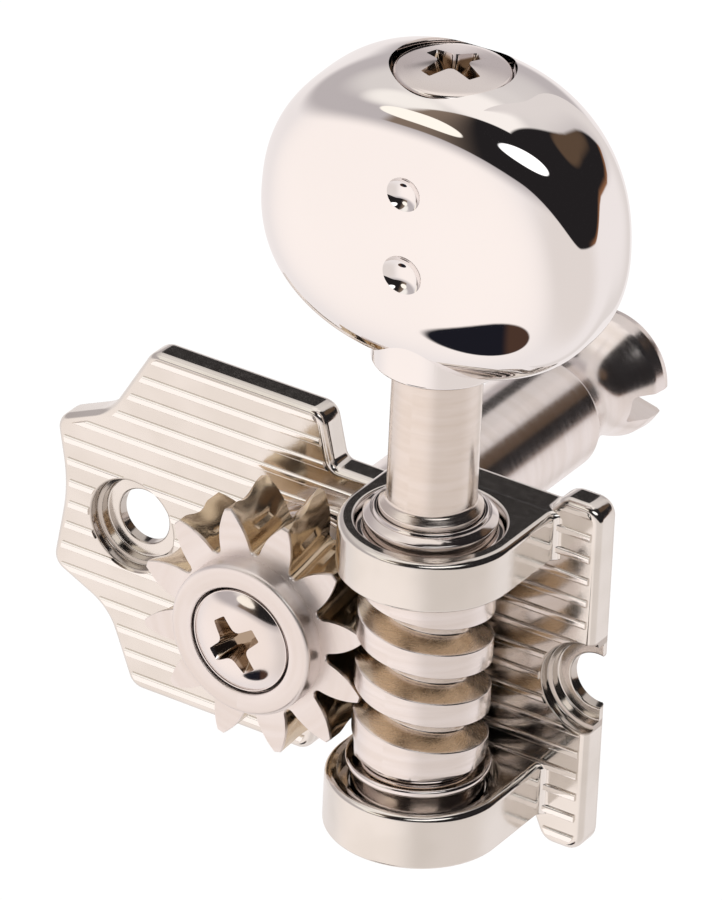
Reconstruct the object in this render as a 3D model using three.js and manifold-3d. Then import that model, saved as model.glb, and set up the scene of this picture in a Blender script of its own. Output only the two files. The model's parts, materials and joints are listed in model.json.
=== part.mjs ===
// Guitar tuning machine with an open worm drive: a ribbed base plate with two lugs, a left-hand worm
// on the button's shaft, a twelve-tooth wheel and a slotted string post behind the plate.
// Millimetres. +Z runs up the worm shaft to the button, +Y runs back along the string post, and the
// origin is where the post's axis meets the plate's back face, which lies on the headstock.
import * as THREE from "three";
import { mergeVertices } from "three/addons/utils/BufferGeometryUtils.js";
import Module from "manifold-3d";

const wasm = await Module();
wasm.setup();

// Drive
const wheelTeeth = 12;
const threadPitch = 2.8;
const threadCrest = 1.32;
const flankAngle = THREE.MathUtils.degToRad(19.5);
const wormOuterRadius = 3.42;
const threadDepth = 1.24;
const threadAddendum = 0.07;
const backlash = 0.18;
const wheelTipClearance = 0.15;
const wheelTipRadius = 6.62;
const wheelRootRadius = 4.35;
const wheelFaceWidth = 4.3;
const wheelPhase = THREE.MathUtils.degToRad(18.3);
const toothFoot = 0.9;
const toothTip = 0.2;
const toothBulge = 2.2;
const wheelBossRadius = 4.09;
const wheelBossHeight = 1.17;
const wheelHubRadius = 4;
const washerThickness = 0.5;

// Fits
const runningGap = 0.06;
const seatGap = 0.08;
const looseGap = 0.15;
const overrun = 1;

// Base plate
const plateThickness = 1.8;
const plateLeft = 16.5;
const plateRightOfWorm = 7.1;
const plateTop = 9.4;
const plateBottom = 10.4;
const neckTop = 6.5;
const neckBottom = 7.4;
const cornerRadius = 0.95;
const sweepRadius = 3;
const waistRadius = 9;
const frontRound = 0.4;
const backRound = 0.5;
const ribCount = 16;
const ribPitch = 1.241;
const ribTopZ = 8.95;
const ribWidth = 0.42;
const ribHeight = 0.2;
const ribInset = 0.06;
const holeX = 11.585;
const holeZ = -0.88;
const holeRadius = 1.5;
const seatRadius = 2.51;
const seatFloorRadius = 2.25;
const seatDepth = 1.1;
const notchFromEdge = 0.3;

// Lugs
const wormOverPlate = 0.85;
const upperLugRadius = 4.57;
const upperLugTop = 8.52;
const upperLugBottom = 5.8;
const lowerLugRadius = 4.66;
const lowerLugTop = 5.85;
const lowerLugBottom = 8.85;
const lugRound = 0.36;
const lugFlare = 0.45;
const upperBoreRadius = 3.75;
const boreChamfer = 0.3;
const lowerBoreRadius = 3.42;
const lowerDishRadius = 4.05;
const lowerDishDepth = 0.55;

// Bushes
const bushRingRadius = 3.35;
const bushShoulderDrop = 0.5;
const bushProud = 0.3;
const bushLipRadius = 2.9;
const bushLipHeight = 0.4;
const lowerFlangeRadius = 3.65;
const lowerFlangeThickness = 0.4;
const lowerFlangeProud = 0.9;
const lowerBushLength = 3.2;

// Worm shaft
const wormTop = 5.55;
const wormBottom = 4.5;
const journalRadius = 2.6;
const journalTop = 9.5;
const stemRadius = 2.24;
const stemFillet = 0.36;
const stemTop = 17.35;
const lowerPivotRadius = 2;
const thrustWasherThickness = 0.3;
const thrustWasherRadius = 3;
const grooveLeadIn = THREE.MathUtils.degToRad(50);
const grooveLeadOut = THREE.MathUtils.degToRad(50);

// Button
const buttonWidth = 18.55;
const buttonHeight = 16.1;
const buttonThickness = 8.6;
const buttonTurn = 0.06;
const buttonTaper = -0.064;
const buttonThickening = 0.11;
const neckRadius = 3.3;
const neckLength = 0.25;
const buttonRecessRadius = 3.07;
const buttonRecessDepth = 1.5;
const driveRadius = 1.9;
const driveFlat = 1.5;
const driveHeadroom = 2.85;
const dimpleRadius = 0.88;
const dimpleDepth = 0.42;
const dimpleSpacing = 4.2;
const dimpleRise = 0.15;

// Screws
const buttonScrewHeadRadius = 2.9;
const buttonScrewRim = 0.7;
const buttonScrewDome = 0.45;
const buttonScrewShank = 1.1;
const buttonScrewLength = 5.5;
const wheelScrewHeadRadius = 2.75;
const wheelScrewRim = 0.25;
const wheelScrewDome = 0.55;
const wheelScrewCone = 1.3;
const wheelScrewShank = 1.2;
const wheelScrewLength = 5.2;
const recessReach = 1.76;
const recessArmWidth = 0.92;
const recessDepth = 1;
const recessTaper = 0.6;
const wheelRecessTurn = THREE.MathUtils.degToRad(52);
const buttonRecessTurn = THREE.MathUtils.degToRad(20);

// String post
const postRadius = 3.175;
const postShoulder = 19.4;
const postLength = 25.85;
const postWaistRadius = 2.5;
const postFlareRadius = 3.54;
const postRim = 0.5;
const postJournalRadius = 2.6;
const postSquare = 3.5;
const postSlotWidth = 1.65;
const postSlotDepth = 2.6;
const postSlotTurn = THREE.MathUtils.degToRad(13);

// Places that follow from the sizes above
const wormRootRadius = wormOuterRadius - threadDepth;
const wormPitchRadius = wormOuterRadius - threadAddendum;
const wormStandOff = wormOuterRadius + wormOverPlate;
const wheelPitchRadius = (wheelTeeth * threadPitch) / (2 * Math.PI);
const wormX = wheelPitchRadius + wormPitchRadius;
const wormY = -plateThickness - wormStandOff;
const plateRight = wormX + plateRightOfWorm;
const notchX = plateRight - notchFromEdge;
const wheelFront = wormY - wheelFaceWidth / 2;
const wheelBack = wormY + wheelFaceWidth / 2;
const bossFront = wheelFront - wheelBossHeight;
const bodyBottom = stemTop + neckLength;
const bodyMiddle = bodyBottom + buttonHeight / 2;
const buttonTop = bodyBottom + buttonHeight;
const recessFloor = buttonTop - buttonRecessDepth;
const driveTop = recessFloor - driveHeadroom;
const driveLength = driveTop - stemTop;

const yAxis = new THREE.Vector3(0, 1, 0);
const zAxis = new THREE.Vector3(0, 0, 1);
const ROUND_SIDES = 36;
const SMALL_SIDES = 22;
const ARC_STEP = THREE.MathUtils.degToRad(15);

// Helpers

// A closed geometry as a manifold solid that faces outwards.
function solidOf(geometry) {
  const bare = new THREE.BufferGeometry();
  bare.setAttribute("position", geometry.getAttribute("position"));
  if (geometry.index) bare.setIndex(geometry.index);
  const merged = mergeVertices(bare, 1e-5);
  const build = (triVerts) =>
    new wasm.Manifold(
      new wasm.Mesh({ numProp: 3, vertProperties: merged.attributes.position.array, triVerts }),
    );
  const triangles = new Uint32Array(merged.index.array).reduce((kept, v, i, all) => {
    if (i % 3 !== 2) return kept;
    const [a, b, c] = [all[i - 2], all[i - 1], v];
    if (a !== b && b !== c && a !== c) kept.push(a, b, c);
    return kept;
  }, []);
  const made = build(new Uint32Array(triangles));
  if (made.volume() > 0) return made;
  for (let i = 0; i < triangles.length; i += 3) {
    [triangles[i], triangles[i + 1]] = [triangles[i + 1], triangles[i]];
  }
  return build(new Uint32Array(triangles));
}

function meshOf(name, solid, material) {
  const data = solid.getMesh();
  const points = new Float32Array(data.numVert * 3);
  for (let i = 0; i < data.numVert; i++) {
    points.set(data.vertProperties.subarray(i * data.numProp, i * data.numProp + 3), i * 3);
  }
  const geometry = new THREE.BufferGeometry();
  geometry.setAttribute("position", new THREE.BufferAttribute(points, 3));
  geometry.setIndex(new THREE.BufferAttribute(data.triVerts, 1));
  geometry.computeVertexNormals();
  const mesh = new THREE.Mesh(geometry, material);
  mesh.name = name;
  return mesh;
}

// A profile of [radius, height] pairs turned about the worm axis, with heights along +Z.
function turnedOnWormAxis(profile, sides = ROUND_SIDES) {
  const points = profile.map(([radius, height]) => new THREE.Vector2(radius, height));
  const geometry = new THREE.LatheGeometry(points, sides);
  geometry.rotateX(Math.PI / 2);
  geometry.translate(wormX, wormY, 0);
  return solidOf(geometry);
}

// A profile of [radius, depth] pairs turned about the post axis, with depths along +Y.
function turnedOnPostAxis(profile, sides = ROUND_SIDES, x = 0, z = 0) {
  const points = profile.map(([radius, depth]) => new THREE.Vector2(radius, depth));
  const geometry = new THREE.LatheGeometry(points, sides);
  geometry.translate(x, 0, z);
  return solidOf(geometry);
}

const drum = (radius, low, high) => [[0, low], [radius, low], [radius, high], [0, high]];

// Rings of equal count joined into one closed skin. The end rings are flat outlines, filled by the
// triangles of the first one.
function loft(rings, capTriangles) {
  const count = rings[0].length;
  const points = rings.flat().flatMap((p) => [p.x, p.y, p.z]);
  const index = [];
  for (let r = 0; r + 1 < rings.length; r++) {
    for (let i = 0; i < count; i++) {
      const j = (i + 1) % count;
      const [a, b, c, d] = [r * count + i, r * count + j, (r + 1) * count + j, (r + 1) * count + i];
      index.push(a, b, c, a, c, d);
    }
  }
  const last = (rings.length - 1) * count;
  for (const [a, b, c] of capTriangles) {
    index.push(a, c, b);
    index.push(last + a, last + b, last + c);
  }
  const geometry = new THREE.BufferGeometry();
  geometry.setAttribute("position", new THREE.Float32BufferAttribute(points, 3));
  geometry.setIndex(index);
  return solidOf(geometry);
}

// An outline of corners [u, v, radius], listed clockwise, moved inwards by an inset. Outer corners lose
// the inset from their radius and inner corners gain it, so every inset has the same count of points.
function outlineOf(corners, inset) {
  const count = corners.length;
  const at = (i) => new THREE.Vector2(corners[(i + count) % count][0], corners[(i + count) % count][1]);
  const inward = (a, b) => {
    const d = b.clone().sub(a).normalize();
    return new THREE.Vector2(d.y, -d.x);
  };
  const moved = corners.map((corner, i) => {
    const before = inward(at(i - 1), at(i));
    const after = inward(at(i), at(i + 1));
    const bisector = before.clone().add(after);
    return at(i).addScaledVector(bisector, (2 * inset) / bisector.lengthSq());
  });
  const points = [];
  corners.forEach(([, , radius], i) => {
    const here = moved[i];
    const back = at(i - 1).sub(at(i)).normalize();
    const on = at(i + 1).sub(at(i)).normalize();
    const outer = on.cross(back) < 0;
    const round = outer ? radius - inset : radius + inset;
    const half = back.angleTo(on) / 2;
    const reach = round / Math.tan(half);
    const sweep = Math.PI - 2 * half;
    const steps = Math.max(2, Math.ceil(sweep / ARC_STEP));
    const centre = here
      .clone()
      .addScaledVector(back.clone().add(on).normalize(), round / Math.sin(half));
    const from = here.clone().addScaledVector(back, reach).sub(centre);
    for (let s = 0; s <= steps; s++) {
      const angle = ((outer ? -1 : 1) * sweep * s) / steps;
      points.push(from.clone().rotateAround(new THREE.Vector2(), angle).add(centre));
    }
  });
  return points;
}

// The triangles that fill an outline, each turning the same way as the outline itself.
function trianglesOf(points) {
  const triangles = THREE.ShapeUtils.triangulateShape(points, []);
  if (!THREE.ShapeUtils.isClockWise(points)) return triangles;
  return triangles.map(([a, b, c]) => [a, c, b]);
}

// A plate-like body whose outline lies in the XZ plane, from a table of [inset, y] levels.
function plateLoft(corners, levels) {
  const rings = levels.map(([inset, y]) =>
    outlineOf(corners, inset).map((p) => new THREE.Vector3(p.x, y, p.y)),
  );
  return loft(rings, trianglesOf(outlineOf(corners, levels[0][0])));
}

// A body whose outline lies in the XY plane, from a table of [inset, z] levels.
function uprightLoft(corners, levels) {
  const rings = levels.map(([inset, z]) =>
    outlineOf(corners, inset).map((p) => new THREE.Vector3(p.x, p.y, z)),
  );
  return loft(rings, trianglesOf(outlineOf(corners, levels[0][0])));
}

// Levels of a rounded edge: the quarter circle starts on the flat face and ends on the wall.
function roundedLevels(radius, face, direction, steps = 3) {
  return Array.from({ length: steps + 1 }, (_, i) => {
    const angle = ((Math.PI / 2) * i) / steps;
    return [radius * (1 - Math.sin(angle)), face + direction * radius * (1 - Math.cos(angle))];
  });
}

// Plate

// The left lobe's outline as shares of the reach to its left tip and of the plate's top or bottom.
const leftSweepShares = { topCorner: 0.655, topElbow: [0.8, 0.56], topTip: 0.405, waist: 0.955 };
const leftFootShares = { corner: 0.69, elbow: [0.79, 0.615], tip: 0.455 };
const lobeEndShare = 0.03;
const lugLeft = wormX - upperLugRadius;
const lugRight = wormX + upperLugRadius;
const rightLobeLeft = lugRight + cornerRadius / 4;

const plateCorners = [
  [-plateLeft * leftSweepShares.topCorner, plateTop, cornerRadius],
  [-plateLeft * lobeEndShare, plateTop, cornerRadius],
  [cornerRadius / 4, neckTop, cornerRadius / 2],
  [lugLeft, neckTop, cornerRadius / 2],
  [lugLeft, upperLugTop, cornerRadius],
  [lugRight - cornerRadius / 2, upperLugTop, cornerRadius / 2],
  [rightLobeLeft, plateTop, cornerRadius],
  [plateRight, plateTop, cornerRadius],
  [plateRight, -plateBottom, cornerRadius],
  [rightLobeLeft, -plateBottom, cornerRadius],
  [lugRight - cornerRadius / 2, -lowerLugBottom, cornerRadius / 2],
  [lugLeft, -lowerLugBottom, cornerRadius],
  [lugLeft, -neckBottom, cornerRadius / 2],
  [cornerRadius / 4, -neckBottom, cornerRadius / 2],
  [-plateLeft * lobeEndShare, -plateBottom, cornerRadius],
  [-plateLeft * leftFootShares.corner, -plateBottom, cornerRadius],
  [-plateLeft * leftFootShares.elbow[0], -plateBottom * leftFootShares.elbow[1], sweepRadius],
  [-plateLeft, -plateBottom * leftFootShares.tip, cornerRadius],
  [-plateLeft * leftSweepShares.waist, 0, waistRadius],
  [-plateLeft, plateTop * leftSweepShares.topTip, cornerRadius],
  [-plateLeft * leftSweepShares.topElbow[0], plateTop * leftSweepShares.topElbow[1], sweepRadius],
];

// A lug: a round front on straight sides that run back into the plate and flare where they meet it.
function lugBody(radius, low, high) {
  const front = wormY - radius;
  const root = -plateThickness;
  const inside = -backRound;
  const corners = [
    [wormX - radius, front, radius * 0.999],
    [wormX - radius, inside, lugRound],
    [wormX + radius + lugFlare * 2, inside, lugRound * 1.2],
    [wormX + radius + lugFlare * 2, root, lugRound * 1.2],
    [wormX + radius, root, lugFlare],
    [wormX + radius, front, radius * 0.999],
  ];
  const below = roundedLevels(lugRound / 2, low, 1, 2);
  const above = roundedLevels(lugRound, high, -1).reverse();
  return uprightLoft(corners, [...below, ...above]);
}

function ribs() {
  const flatLevels = [
    [frontRound + ribInset, -plateThickness - ribHeight - overrun],
    [frontRound + ribInset, -plateThickness + ribHeight],
  ];
  const field = plateLoft(plateCorners, flatLevels);
  const reach = plateLeft + plateRight;
  const facets = 3;
  const section = Array.from({ length: facets + 1 }, (_, i) => {
    const angle = (Math.PI * i) / facets;
    return [(-ribWidth / 2) * Math.cos(angle), ribHeight * Math.sin(angle)];
  });
  let all = null;
  for (let i = 0; i < ribCount; i++) {
    const shape = new THREE.Shape(
      [[-ribWidth / 2, -ribHeight / 2], ...section, [ribWidth / 2, -ribHeight / 2]].map(
        ([across, out]) => new THREE.Vector2(across, out),
      ),
    );
    const geometry = new THREE.ExtrudeGeometry(shape, { depth: reach, bevelEnabled: false, steps: 1 });
    geometry.rotateY(Math.PI / 2);
    geometry.rotateX(Math.PI / 2);
    geometry.translate(-plateLeft, -plateThickness, ribTopZ - i * ribPitch);
    const bar = solidOf(geometry);
    all = all ? all.add(bar) : bar;
  }
  return all.intersect(field);
}

// A screw seat: a counterbore with a tapered wall and a clearance hole through its floor.
function screwSeat(x) {
  const face = -plateThickness;
  const floor = face + seatDepth;
  return turnedOnPostAxis(
    [
      [0, face - overrun],
      [seatRadius, face - overrun],
      [seatRadius, face + seatDepth / 2],
      [seatFloorRadius, face + seatDepth / 2],
      [seatFloorRadius, floor],
      [holeRadius, floor],
      [holeRadius, overrun],
      [0, overrun],
    ],
    ROUND_SIDES,
    x,
    holeZ,
  );
}

function basePlate() {
  const front = roundedLevels(frontRound, -plateThickness, 1);
  const back = roundedLevels(backRound, 0, -1).reverse();
  let plate = plateLoft(plateCorners, [...front, ...back]);
  plate = plate.add(ribs());
  plate = plate.add(lugBody(upperLugRadius, upperLugBottom, upperLugTop));
  plate = plate.add(lugBody(lowerLugRadius, -lowerLugBottom, -lowerLugTop));
  const upperBore = turnedOnWormAxis([
    [0, upperLugBottom - overrun],
    [upperBoreRadius, upperLugBottom - overrun],
    [upperBoreRadius, upperLugTop - boreChamfer],
    [upperBoreRadius + boreChamfer, upperLugTop],
    [upperBoreRadius + boreChamfer, upperLugTop + overrun],
    [0, upperLugTop + overrun],
  ]);
  const lowerBore = turnedOnWormAxis([
    [0, -lowerLugBottom - overrun],
    [lowerPivotRadius + looseGap, -lowerLugBottom - overrun],
    [lowerPivotRadius + looseGap, -lowerLugTop - lowerBushLength],
    [lowerBoreRadius, -lowerLugTop - lowerBushLength],
    [lowerBoreRadius, -lowerLugTop - lowerDishDepth],
    [lowerDishRadius, -lowerLugTop],
    [lowerDishRadius, -lowerLugTop + overrun],
    [0, -lowerLugTop + overrun],
  ]);
  const postBore = turnedOnPostAxis(
    drum(postJournalRadius + runningGap, -plateThickness - overrun, overrun),
  );
  for (const cut of [upperBore, lowerBore, postBore, screwSeat(-holeX), screwSeat(notchX)]) {
    plate = plate.subtract(cut);
  }
  return plate;
}

function upperBush() {
  const bore = journalRadius + runningGap;
  const body = upperBoreRadius - seatGap;
  const shoulder = upperLugTop - bushShoulderDrop;
  const ringTop = upperLugTop + bushProud;
  const lipFoot = ringTop + boreChamfer;
  return turnedOnWormAxis([
    [bore, wormTop + seatGap],
    [body, wormTop + seatGap],
    [body, shoulder],
    [bushRingRadius, shoulder],
    [bushRingRadius, ringTop],
    [bushLipRadius + seatGap, lipFoot],
    [bushLipRadius, lipFoot - seatGap],
    [bushLipRadius - seatGap, ringTop + bushLipHeight],
    [bore, ringTop + bushLipHeight],
    [bore, wormTop + seatGap],
  ]);
}

function lowerBush() {
  const bore = lowerPivotRadius + runningGap;
  const flangeTop = -lowerLugTop + lowerFlangeProud;
  const flangeFoot = flangeTop - lowerFlangeThickness;
  const body = lowerBoreRadius - seatGap;
  const foot = -lowerLugTop - lowerBushLength + seatGap;
  return turnedOnWormAxis([
    [bore, foot],
    [body, foot],
    [body, flangeFoot],
    [lowerFlangeRadius, flangeFoot],
    [lowerFlangeRadius, flangeTop],
    [bore, flangeTop],
    [bore, foot],
  ]);
}

function thrustWasher() {
  const low = -lowerLugTop + lowerFlangeProud + seatGap / 2;
  const high = Math.min(-wormBottom - seatGap / 2, low + thrustWasherThickness);
  const bore = lowerPivotRadius + runningGap;
  return turnedOnWormAxis(
    [
      [bore, low],
      [thrustWasherRadius, low],
      [thrustWasherRadius, high],
      [bore, high],
      [bore, low],
    ],
    SMALL_SIDES,
  );
}

// Worm

// The groove of the left-hand worm: its centre height where the angle about the worm axis is turn.
// At the wheel's side, half a turn, one groove stands level with the tooth of the wheel's rest phase.
const grooveHeight = (turn) =>
  wheelPitchRadius * wheelPhase - (threadPitch * (turn - Math.PI)) / (2 * Math.PI);

const spaceHalfWidth = (radius) =>
  (threadPitch - threadCrest) / 2 - Math.tan(flankAngle) * (wormOuterRadius - radius);

function wormGroove() {
  const perTurn = ROUND_SIDES;
  const step = (2 * Math.PI) / perTurn;
  const reach = wheelPitchRadius;
  const turnAt = (height) =>
    Math.PI + ((wheelPitchRadius * wheelPhase - height) * 2 * Math.PI) / threadPitch;
  const first = Math.floor((turnAt(reach * 0.8) - grooveLeadIn) / step);
  const last = Math.ceil((turnAt(-reach * 0.72) + grooveLeadOut) / step);
  const outer = wormOuterRadius + overrun / 2;
  const rings = [];
  for (let i = first; i <= last; i++) {
    const turn = i * step;
    const height = grooveHeight(turn);
    const section = [
      [wormRootRadius, -spaceHalfWidth(wormRootRadius)],
      [outer, -spaceHalfWidth(outer)],
      [outer, spaceHalfWidth(outer)],
      [wormRootRadius, spaceHalfWidth(wormRootRadius)],
    ];
    rings.push(
      section.map(
        ([radius, rise]) =>
          new THREE.Vector3(
            wormX + radius * Math.cos(turn),
            wormY + radius * Math.sin(turn),
            height + rise,
          ),
      ),
    );
  }
  return loft(rings, [[0, 1, 2], [0, 2, 3]]);
}

function wormShaft() {
  const pivotFoot = -lowerLugBottom + lugRound;
  const body = turnedOnWormAxis([
    [0, pivotFoot],
    [lowerPivotRadius - lugRound / 2, pivotFoot],
    [lowerPivotRadius, pivotFoot + lugRound / 2],
    [lowerPivotRadius, -wormBottom],
    [wormOuterRadius - seatGap, -wormBottom],
    [wormOuterRadius, -wormBottom + seatGap],
    [wormOuterRadius, wormTop],
    [journalRadius, wormTop],
    [journalRadius, journalTop],
    [stemRadius + stemFillet / 3, journalTop + stemFillet / 3],
    [stemRadius, journalTop + stemFillet],
    [stemRadius, stemTop],
    [driveRadius, stemTop],
    [driveRadius, driveTop],
    [0, driveTop],
  ]);
  const flatDepth = driveRadius;
  const flats = [-1, 1].map((side) => {
    const block = new THREE.BoxGeometry(driveRadius * 3, flatDepth, driveLength + overrun);
    block.translate(
      wormX,
      wormY + side * (driveFlat + flatDepth / 2),
      stemTop + (driveLength + overrun) / 2,
    );
    return solidOf(block);
  });
  const tapped = turnedOnWormAxis(
    drum(buttonScrewShank + seatGap, recessFloor - buttonScrewLength - seatGap, driveTop + overrun),
    SMALL_SIDES,
  );
  return body.subtract(wormGroove()).subtract(flats[0]).subtract(flats[1]).subtract(tapped);
}

// Wheel

// The wheel's tooth is what the turning worm leaves standing. For a point at a radius and an offset
// from the worm's axis plane, each wheel angle puts it at a height beside the thread's flank, and the
// tightest of them bounds the tooth. Where the worm doesn't reach, a plain tapered tooth stands.
function toothBounds(radius, offset) {
  const rise = Math.max(0, (radius - wheelRootRadius) / (wheelTipRadius - wheelRootRadius));
  const plain = toothFoot - (toothFoot - toothTip) * rise ** toothBulge;
  const leadOf = (away) => (threadPitch * Math.atan2(offset, away)) / (2 * Math.PI);
  const slant = leadOf(wormPitchRadius) / wheelPitchRadius;
  let low = slant - plain / radius;
  let high = slant + plain / radius;
  const samples = 60;
  const widest = Math.PI / 4;
  for (let i = -samples; i <= samples; i++) {
    const turned = (widest * i) / samples;
    const away = wormX - radius * Math.cos(turned);
    const depth = Math.hypot(away, offset);
    if (depth > wormOuterRadius + wheelTipClearance) continue;
    const room = spaceHalfWidth(Math.min(depth, wormOuterRadius)) - backlash / 2;
    const height = radius * Math.sin(turned) - leadOf(away);
    high = Math.min(high, turned - (height - room) / wheelPitchRadius);
    low = Math.max(low, turned - (height + room) / wheelPitchRadius);
  }
  return [low, high];
}

// The throat: the tip stays clear of the worm's root.
function tipRadiusAt(offset) {
  const clear = wormRootRadius + wheelTipClearance;
  const inside = clear * clear - offset * offset;
  return inside > 0 ? Math.min(wheelTipRadius, wormX - Math.sqrt(inside)) : wheelTipRadius;
}

function toothedDisc() {
  const slices = 6;
  const rootGap = (wheelPitchRadius - wheelRootRadius) / 5;
  const foot = wheelRootRadius + rootGap;
  const levelShares = [0, 0.22, 0.45, 0.64, 0.82, 1];
  const rings = [];
  for (let s = 0; s <= slices; s++) {
    const offset = wheelFaceWidth * (s / slices - 1 / 2);
    const tip = tipRadiusAt(offset);
    const radii = levelShares.map((share) => foot + (tip - foot) * share);
    const bounds = radii.map((radius) => toothBounds(radius, offset));
    const slant = (bounds[0][0] + bounds[0][1]) / 2;
    const tooth = [
      [wheelRootRadius, slant - Math.PI / wheelTeeth],
      ...radii.map((radius, i) => [radius, bounds[i][0]]),
      ...radii.map((radius, i) => [radius, bounds[i][1]]).reverse(),
    ];
    const ring = [];
    for (let t = 0; t < wheelTeeth; t++) {
      const base = wheelPhase + (2 * Math.PI * t) / wheelTeeth;
      for (const [radius, angle] of tooth) {
        ring.push(
          new THREE.Vector3(
            radius * Math.cos(base + angle),
            wormY + offset,
            radius * Math.sin(base + angle),
          ),
        );
      }
    }
    rings.push(ring);
  }
  const flat = rings[0].map((p) => new THREE.Vector2(p.x, p.z));
  return loft(rings, trianglesOf(flat));
}

function squareBar(side, from, to) {
  const bar = new THREE.BoxGeometry(side, to - from, side);
  bar.translate(0, (from + to) / 2, 0);
  return solidOf(bar);
}

const hubBack = -plateThickness - ribHeight - washerThickness - 2 * seatGap;
const squareFront = bossFront + wheelScrewRim + wheelScrewCone + looseGap;

function wormWheel() {
  const chamfer = wheelBossHeight / 6;
  const boss = turnedOnPostAxis([
    [0, bossFront],
    [wheelBossRadius - chamfer, bossFront],
    [wheelBossRadius, bossFront + chamfer],
    [wheelBossRadius, wormY],
    [wheelHubRadius, wormY],
    [wheelHubRadius, hubBack],
    [0, hubBack],
  ]);
  const seat = turnedOnPostAxis([
    [0, bossFront - overrun],
    [wheelScrewHeadRadius + looseGap, bossFront - overrun],
    [wheelScrewHeadRadius + looseGap, bossFront + wheelScrewRim],
    [wheelScrewShank + looseGap, squareFront],
    [wheelScrewShank + looseGap, wormY],
    [0, wormY],
  ]);
  const square = squareBar(postSquare + 2 * seatGap, squareFront, overrun);
  return toothedDisc().add(boss).subtract(seat).subtract(square);
}

function wheelWasher() {
  const low = hubBack + seatGap;
  const high = low + washerThickness;
  const bore = postJournalRadius + runningGap;
  return turnedOnPostAxis(
    [
      [bore, low],
      [wheelHubRadius, low],
      [wheelHubRadius, high],
      [bore, high],
      [bore, low],
    ],
    SMALL_SIDES,
  );
}

// Screws

// A cross recess: two crossed bars that narrow towards the bottom, cut along -Y from a face at depth 0.
function crossRecess(turn) {
  const bar = (angle) => {
    const rings = [
      [recessArmWidth, recessReach, -overrun],
      [recessArmWidth, recessReach, 0],
      [recessArmWidth * recessTaper, recessReach * recessTaper, recessDepth],
    ].map(([width, reach, depth]) =>
      [[-reach, -width / 2], [reach, -width / 2], [reach, width / 2], [-reach, width / 2]].map(
        ([across, up]) => new THREE.Vector3(across, depth, up).applyAxisAngle(yAxis, angle),
      ),
    );
    return loft(rings, [[0, 1, 2], [0, 2, 3]]);
  };
  return bar(turn).add(bar(turn + Math.PI / 2));
}


// A domed head's profile from its crown to its rim, for a head whose crown looks along -Y.
function domeProfile(radius, dome, rim) {
  const steps = 5;
  const ball = (radius * radius + dome * dome) / (2 * dome);
  const widest = Math.asin(radius / ball);
  return Array.from({ length: steps + 1 }, (_, i) => {
    const angle = (widest * i) / steps;
    return [ball * Math.sin(angle), rim - dome + ball * (1 - Math.cos(angle))];
  });
}

function wheelScrew() {
  const cone = bossFront + wheelScrewRim + wheelScrewCone;
  const screw = turnedOnPostAxis(
    [
      ...domeProfile(wheelScrewHeadRadius, wheelScrewDome, bossFront),
      [wheelScrewHeadRadius, bossFront + wheelScrewRim],
      [wheelScrewShank, cone],
      [wheelScrewShank, cone + wheelScrewLength],
      [0, cone + wheelScrewLength],
    ],
    SMALL_SIDES,
  );
  const recess = crossRecess(wheelRecessTurn).translate([0, bossFront - wheelScrewDome, 0]);
  return screw.subtract(recess);
}

function buttonScrew() {
  const rim = recessFloor + seatGap + buttonScrewRim;
  const dome = domeProfile(buttonScrewHeadRadius, buttonScrewDome, -rim).map(([r, y]) => [r, -y]);
  const foot = recessFloor - buttonScrewLength;
  const screw = turnedOnWormAxis(
    [
      ...dome,
      [buttonScrewHeadRadius, recessFloor + seatGap],
      [buttonScrewShank, recessFloor + seatGap],
      [buttonScrewShank, foot],
      [0, foot],
    ],
    SMALL_SIDES,
  );
  const recess = crossRecess(buttonRecessTurn)
    .rotate([-90, 0, 0])
    .translate([wormX, wormY, rim + buttonScrewDome]);
  return screw.subtract(recess);
}

// Button

// The body: an oval seen from the front, whose rings shrink towards the two faces, which stay nearly
// flat because the shrinking is a power curve.
const ovalPower = 2.27;
const facePower = 3.2;

function buttonBody() {
  const around = 36;
  const across = 16;
  const rings = [];
  for (let s = 0; s <= across; s++) {
    const angle = Math.PI * (s / across) - Math.PI / 2;
    const bulge = (value) => Math.sign(value) * Math.abs(value) ** (2 / facePower);
    const depth = (buttonThickness / 2) * bulge(Math.sin(angle));
    const scale = bulge(Math.cos(angle));
    const ring = [];
    for (let i = 0; i < around; i++) {
      const turn = (2 * Math.PI * i) / around;
      const oval = (value) => Math.sign(value) * Math.abs(value) ** (2 / ovalPower);
      const rise = scale * oval(Math.sin(turn));
      const reach = (buttonWidth / 2) * scale * oval(Math.cos(turn)) * (1 + buttonTaper * rise);
      const point = new THREE.Vector3(reach, depth * (1 + buttonThickening * rise), 0);
      point.applyAxisAngle(zAxis, buttonTurn);
      point.add(new THREE.Vector3(wormX, wormY, bodyMiddle + (buttonHeight / 2) * rise));
      ring.push(point);
    }
    rings.push(ring);
  }
  const flat = rings[1].map((p) => new THREE.Vector2(p.x, p.z));
  return loft(rings.slice(1, -1), trianglesOf(flat));
}

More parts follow.
